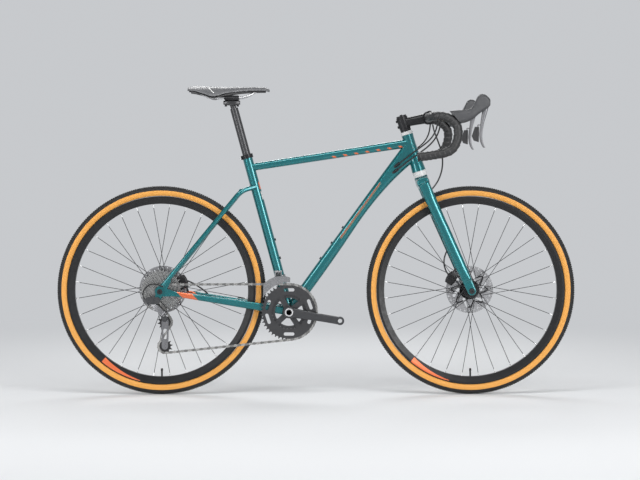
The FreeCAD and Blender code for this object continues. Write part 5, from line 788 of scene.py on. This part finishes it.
def route_curve(name, route, resolution):
    """A smooth NURBS line with the route's points as its control points."""
    curve = bpy.data.curves.new(name, "CURVE")
    curve.dimensions = "3D"
    curve.resolution_u = resolution
    spline = curve.splines.new("NURBS")
    spline.points.add(len(route) - 1)
    for point, place in zip(spline.points, route):
        point.co = (*place, 1.0)
    spline.order_u = 3
    spline.use_endpoint_u = True
    return curve


def curve_mesh(curve):
    """The curve's mesh. The curve itself is removed."""
    holder = bpy.data.objects.new(curve.name, curve)
    mesh = bpy.data.meshes.new_from_object(holder)
    bpy.data.objects.remove(holder)
    bpy.data.curves.remove(curve)
    return mesh


def route_line(route):
    """Points along the line that a route's points control."""
    line = curve_mesh(route_curve("route_line", route, line_resolution))
    places = [vertex.co.copy() for vertex in line.vertices]
    bpy.data.meshes.remove(line)
    return places


def evenly(places, step):
    """Places at an even distance along a line, with the way the line runs at each."""
    spaced = []
    wanted = 0.0
    walked = 0.0
    for first, second in zip(places, places[1:]):
        run = (second - first).length
        while wanted <= walked + run:
            spaced.append((first.lerp(second, (wanted - walked) / run), (second - first).normalized()))
            wanted += step
        walked += run
    return spaced


print("routes ready")

# %% [markdown]
# ## Bar tape
# Cork tape is wound round the bar with each turn lapping the last. A swept tube with a smooth skin would
# miss those laps, so the tube is built ring by ring along the bar's line, and each turn starts thick and
# ends thin.

# %% Bar tape
bar_route = (
    (0.3764, -0.118, 0.9299), (0.3764, -0.1849, 0.9299), (0.422, -0.215, 0.9299), (0.4564, -0.22, 0.9033),
    (0.4624, -0.226, 0.8713), (0.4504, -0.2338, 0.8301), (0.4212, -0.2382, 0.8062), (0.3334, -0.24, 0.7969))
tape_thick, tape_thin = 0.0158, 0.0139
wrap_pitch = 0.016
rings_per_wrap = 9
tape_sides = 32
wrap_slant = math.radians(16.0)

tape_finish = surface("cork_tape", (0.022, 0.022, 0.023), roughness=0.46, vary=0.35, grain=1400.0,
                      relief=0.00025)


def wound_tape(name, side):
    """One side's tape, ring by ring, each turn thick at its start and thin at its end."""
    shape = bmesh.new()
    route = [(x, y * side, z) for x, y, z in bar_route]
    stations = evenly(route_line(route), wrap_pitch / rings_per_wrap)
    loops = []
    for index, (place, way) in enumerate(stations):
        share = (index % rings_per_wrap) / (rings_per_wrap - 1)
        radius = tape_thick + (tape_thin - tape_thick) * share
        turn = way.to_track_quat("Z", "Y").to_matrix().to_4x4() @ Matrix.Rotation(wrap_slant, 4, "X")
        ring = bmesh.ops.create_circle(shape, segments=tape_sides, radius=radius,
                                       matrix=Matrix.Translation(place) @ turn)["verts"]
        loops.append([edge for vertex in ring for edge in vertex.link_edges])
    for first, second in zip(loops, loops[1:]):
        bmesh.ops.bridge_loops(shape, edges=list(set(first) | set(second)))
    bmesh.ops.holes_fill(shape, edges=[edge for edge in shape.edges if edge.is_boundary], sides=tape_sides)
    bmesh.ops.recalc_face_normals(shape, faces=shape.faces)
    return add_piece(name, shape, [tape_finish])


for side_name, side in (("right", 1), ("left", -1)):
    tape = wound_tape("bar_tape_" + side_name, side)
    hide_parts("bar_tape")
    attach(tape, "steering")
    print("tape", side_name, len(tape.data.polygons), "faces")

# %% [markdown]
# ## Hoses and cables
# The brake hoses and shift housings leave the tape under the bar, swing down and inwards in an easy curve
# and go into the down tube and the fork. Those that enter the frame are only set in place, on no body. The
# two short runs at the back stay with the frame, and the front brake's hose keeps its solid.

# %% Hoses and cables
housing_radius, hose_radius = 0.0025, 0.0026
tube_resolution, tube_roundness = 12, 4
right_shift_route = (
    (0.396, -0.198, 0.9134), (0.394, -0.19, 0.896), (0.386, -0.172, 0.872), (0.37, -0.142, 0.85),
    (0.345, -0.106, 0.83), (0.317, -0.068, 0.809), (0.292, -0.038, 0.788), (0.276, -0.023, 0.776),
    (0.262, -0.014, 0.765))
left_shift_route = tuple((x, -y, z) for x, y, z in right_shift_route)
right_hose_route = (
    (0.405, -0.204, 0.9134), (0.403, -0.195, 0.893), (0.395, -0.176, 0.866), (0.377, -0.145, 0.84),
    (0.35, -0.108, 0.817), (0.32, -0.071, 0.795), (0.293, -0.041, 0.773), (0.273, -0.024, 0.757),
    (0.256, -0.014, 0.745))
rear_hose_route = (
    (-0.36, 0.06, 0.328), (-0.378, 0.061, 0.345), (-0.401, 0.061, 0.361), (-0.424, 0.059, 0.375),
    (-0.4405, 0.057, 0.381))
rear_housing_route = (
    (-0.509, -0.0859, 0.368), (-0.53, -0.087, 0.377), (-0.553, -0.089, 0.376), (-0.571, -0.091, 0.361),
    (-0.577, -0.092, 0.341), (-0.571, -0.092, 0.325))
hose_finish = surface("hose_black", (0.02, 0.02, 0.021), roughness=0.33, vary=0.3, grain=900.0,
                      relief=0.00002)
dress(hose_finish, "front_brake_hose")


def tube(name, route, radius):
    """A round tube along a smooth line, closed at both ends."""
    curve = route_curve(name, route, tube_resolution)
    curve.bevel_depth = radius
    curve.bevel_resolution = tube_roundness
    curve.use_fill_caps = True
    mesh = curve_mesh(curve)
    shape = bmesh.new()
    shape.from_mesh(mesh)
    bpy.data.meshes.remove(mesh)
    bmesh.ops.recalc_face_normals(shape, faces=shape.faces)
    return add_piece(name, shape, [hose_finish])


for tube_name, route, radius, bends in (
        ("right_shift_housing", right_shift_route, housing_radius, True),
        ("left_shift_housing", left_shift_route, housing_radius, True),
        ("rear_brake_hose_front", right_hose_route, hose_radius, True),
        ("rear_brake_hose_back", rear_hose_route, hose_radius, False),
        ("derailleur_housing", rear_housing_route, housing_radius, False)):
    run = tube(tube_name, route, radius)
    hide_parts("cables")
    if bends:
        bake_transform(run)
    else:
        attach(run, "frame")
print("hoses done")

# %% [markdown]
# ## Saddle cover
# The cover is a skin stretched over moulded foam on a plastic shell. It starts from the solid's own shape,
# which is remeshed into even small faces, smoothed until it reads as foam, and then pressed along the
# middle for the relief channel. A pale slash on each flank is a mask on its own coordinates.

# %% Saddle cover
saddle_voxel = 0.003
saddle_rounds = 6
channel_half, channel_depth = 0.011, 0.0028
channel_rear, channel_front = -0.4, -0.2
slash_low, slash_high = (-0.3585, 1.0295), (-0.3405, 1.0115)
slash_width = 0.0013
top_facing = 0.4


def saddle_slash(tree, coords):
    """A short pale slash on the flank, as a thin slanted box."""
    run = Vector((slash_high[0] - slash_low[0], 0.0, slash_high[1] - slash_low[1]))
    start = (slash_low[0], 0.0, slash_low[1])
    line = run.normalized()
    beside = Vector((-line.z, 0.0, line.x))
    length = within(tree, along(tree, coords, start, line), 0.0, run.length)
    width = within(tree, along(tree, coords, start, beside), -slash_width, slash_width)
    return ((all_of(tree, length, width), pale),)


saddle_skin = surface("saddle_skin", (0.13, 0.132, 0.138), roughness=0.42, vary=0.14, grain=1300.0,
                      relief=0.00006, layers=saddle_slash)


def press_channel(foam):
    """Presses the relief channel into the top, deepest on the centre line."""
    foam.normal_update()
    for vertex in foam.verts:
        if vertex.normal.z < top_facing or abs(vertex.co.y) > channel_half:
            continue
        share = (vertex.co.x - channel_rear) / (channel_front - channel_rear)
        if 0.0 < share < 1.0:
            across = math.cos(math.pi / 2.0 * vertex.co.y / channel_half) ** 2
            vertex.co.z -= channel_depth * across * math.sin(math.pi * share) ** 0.5


foam = even_skin("saddle_cover", "saddle_padding", saddle_voxel, saddle_rounds)
press_channel(foam)
saddle = add_piece("saddle_padding", foam, [saddle_skin])
soften = saddle.modifiers.new("soften", "SUBSURF")
soften.levels = 1
soften.render_levels = 1
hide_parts("saddle_cover")
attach(saddle, "seat")
print("saddle faces", len(saddle.data.polygons))
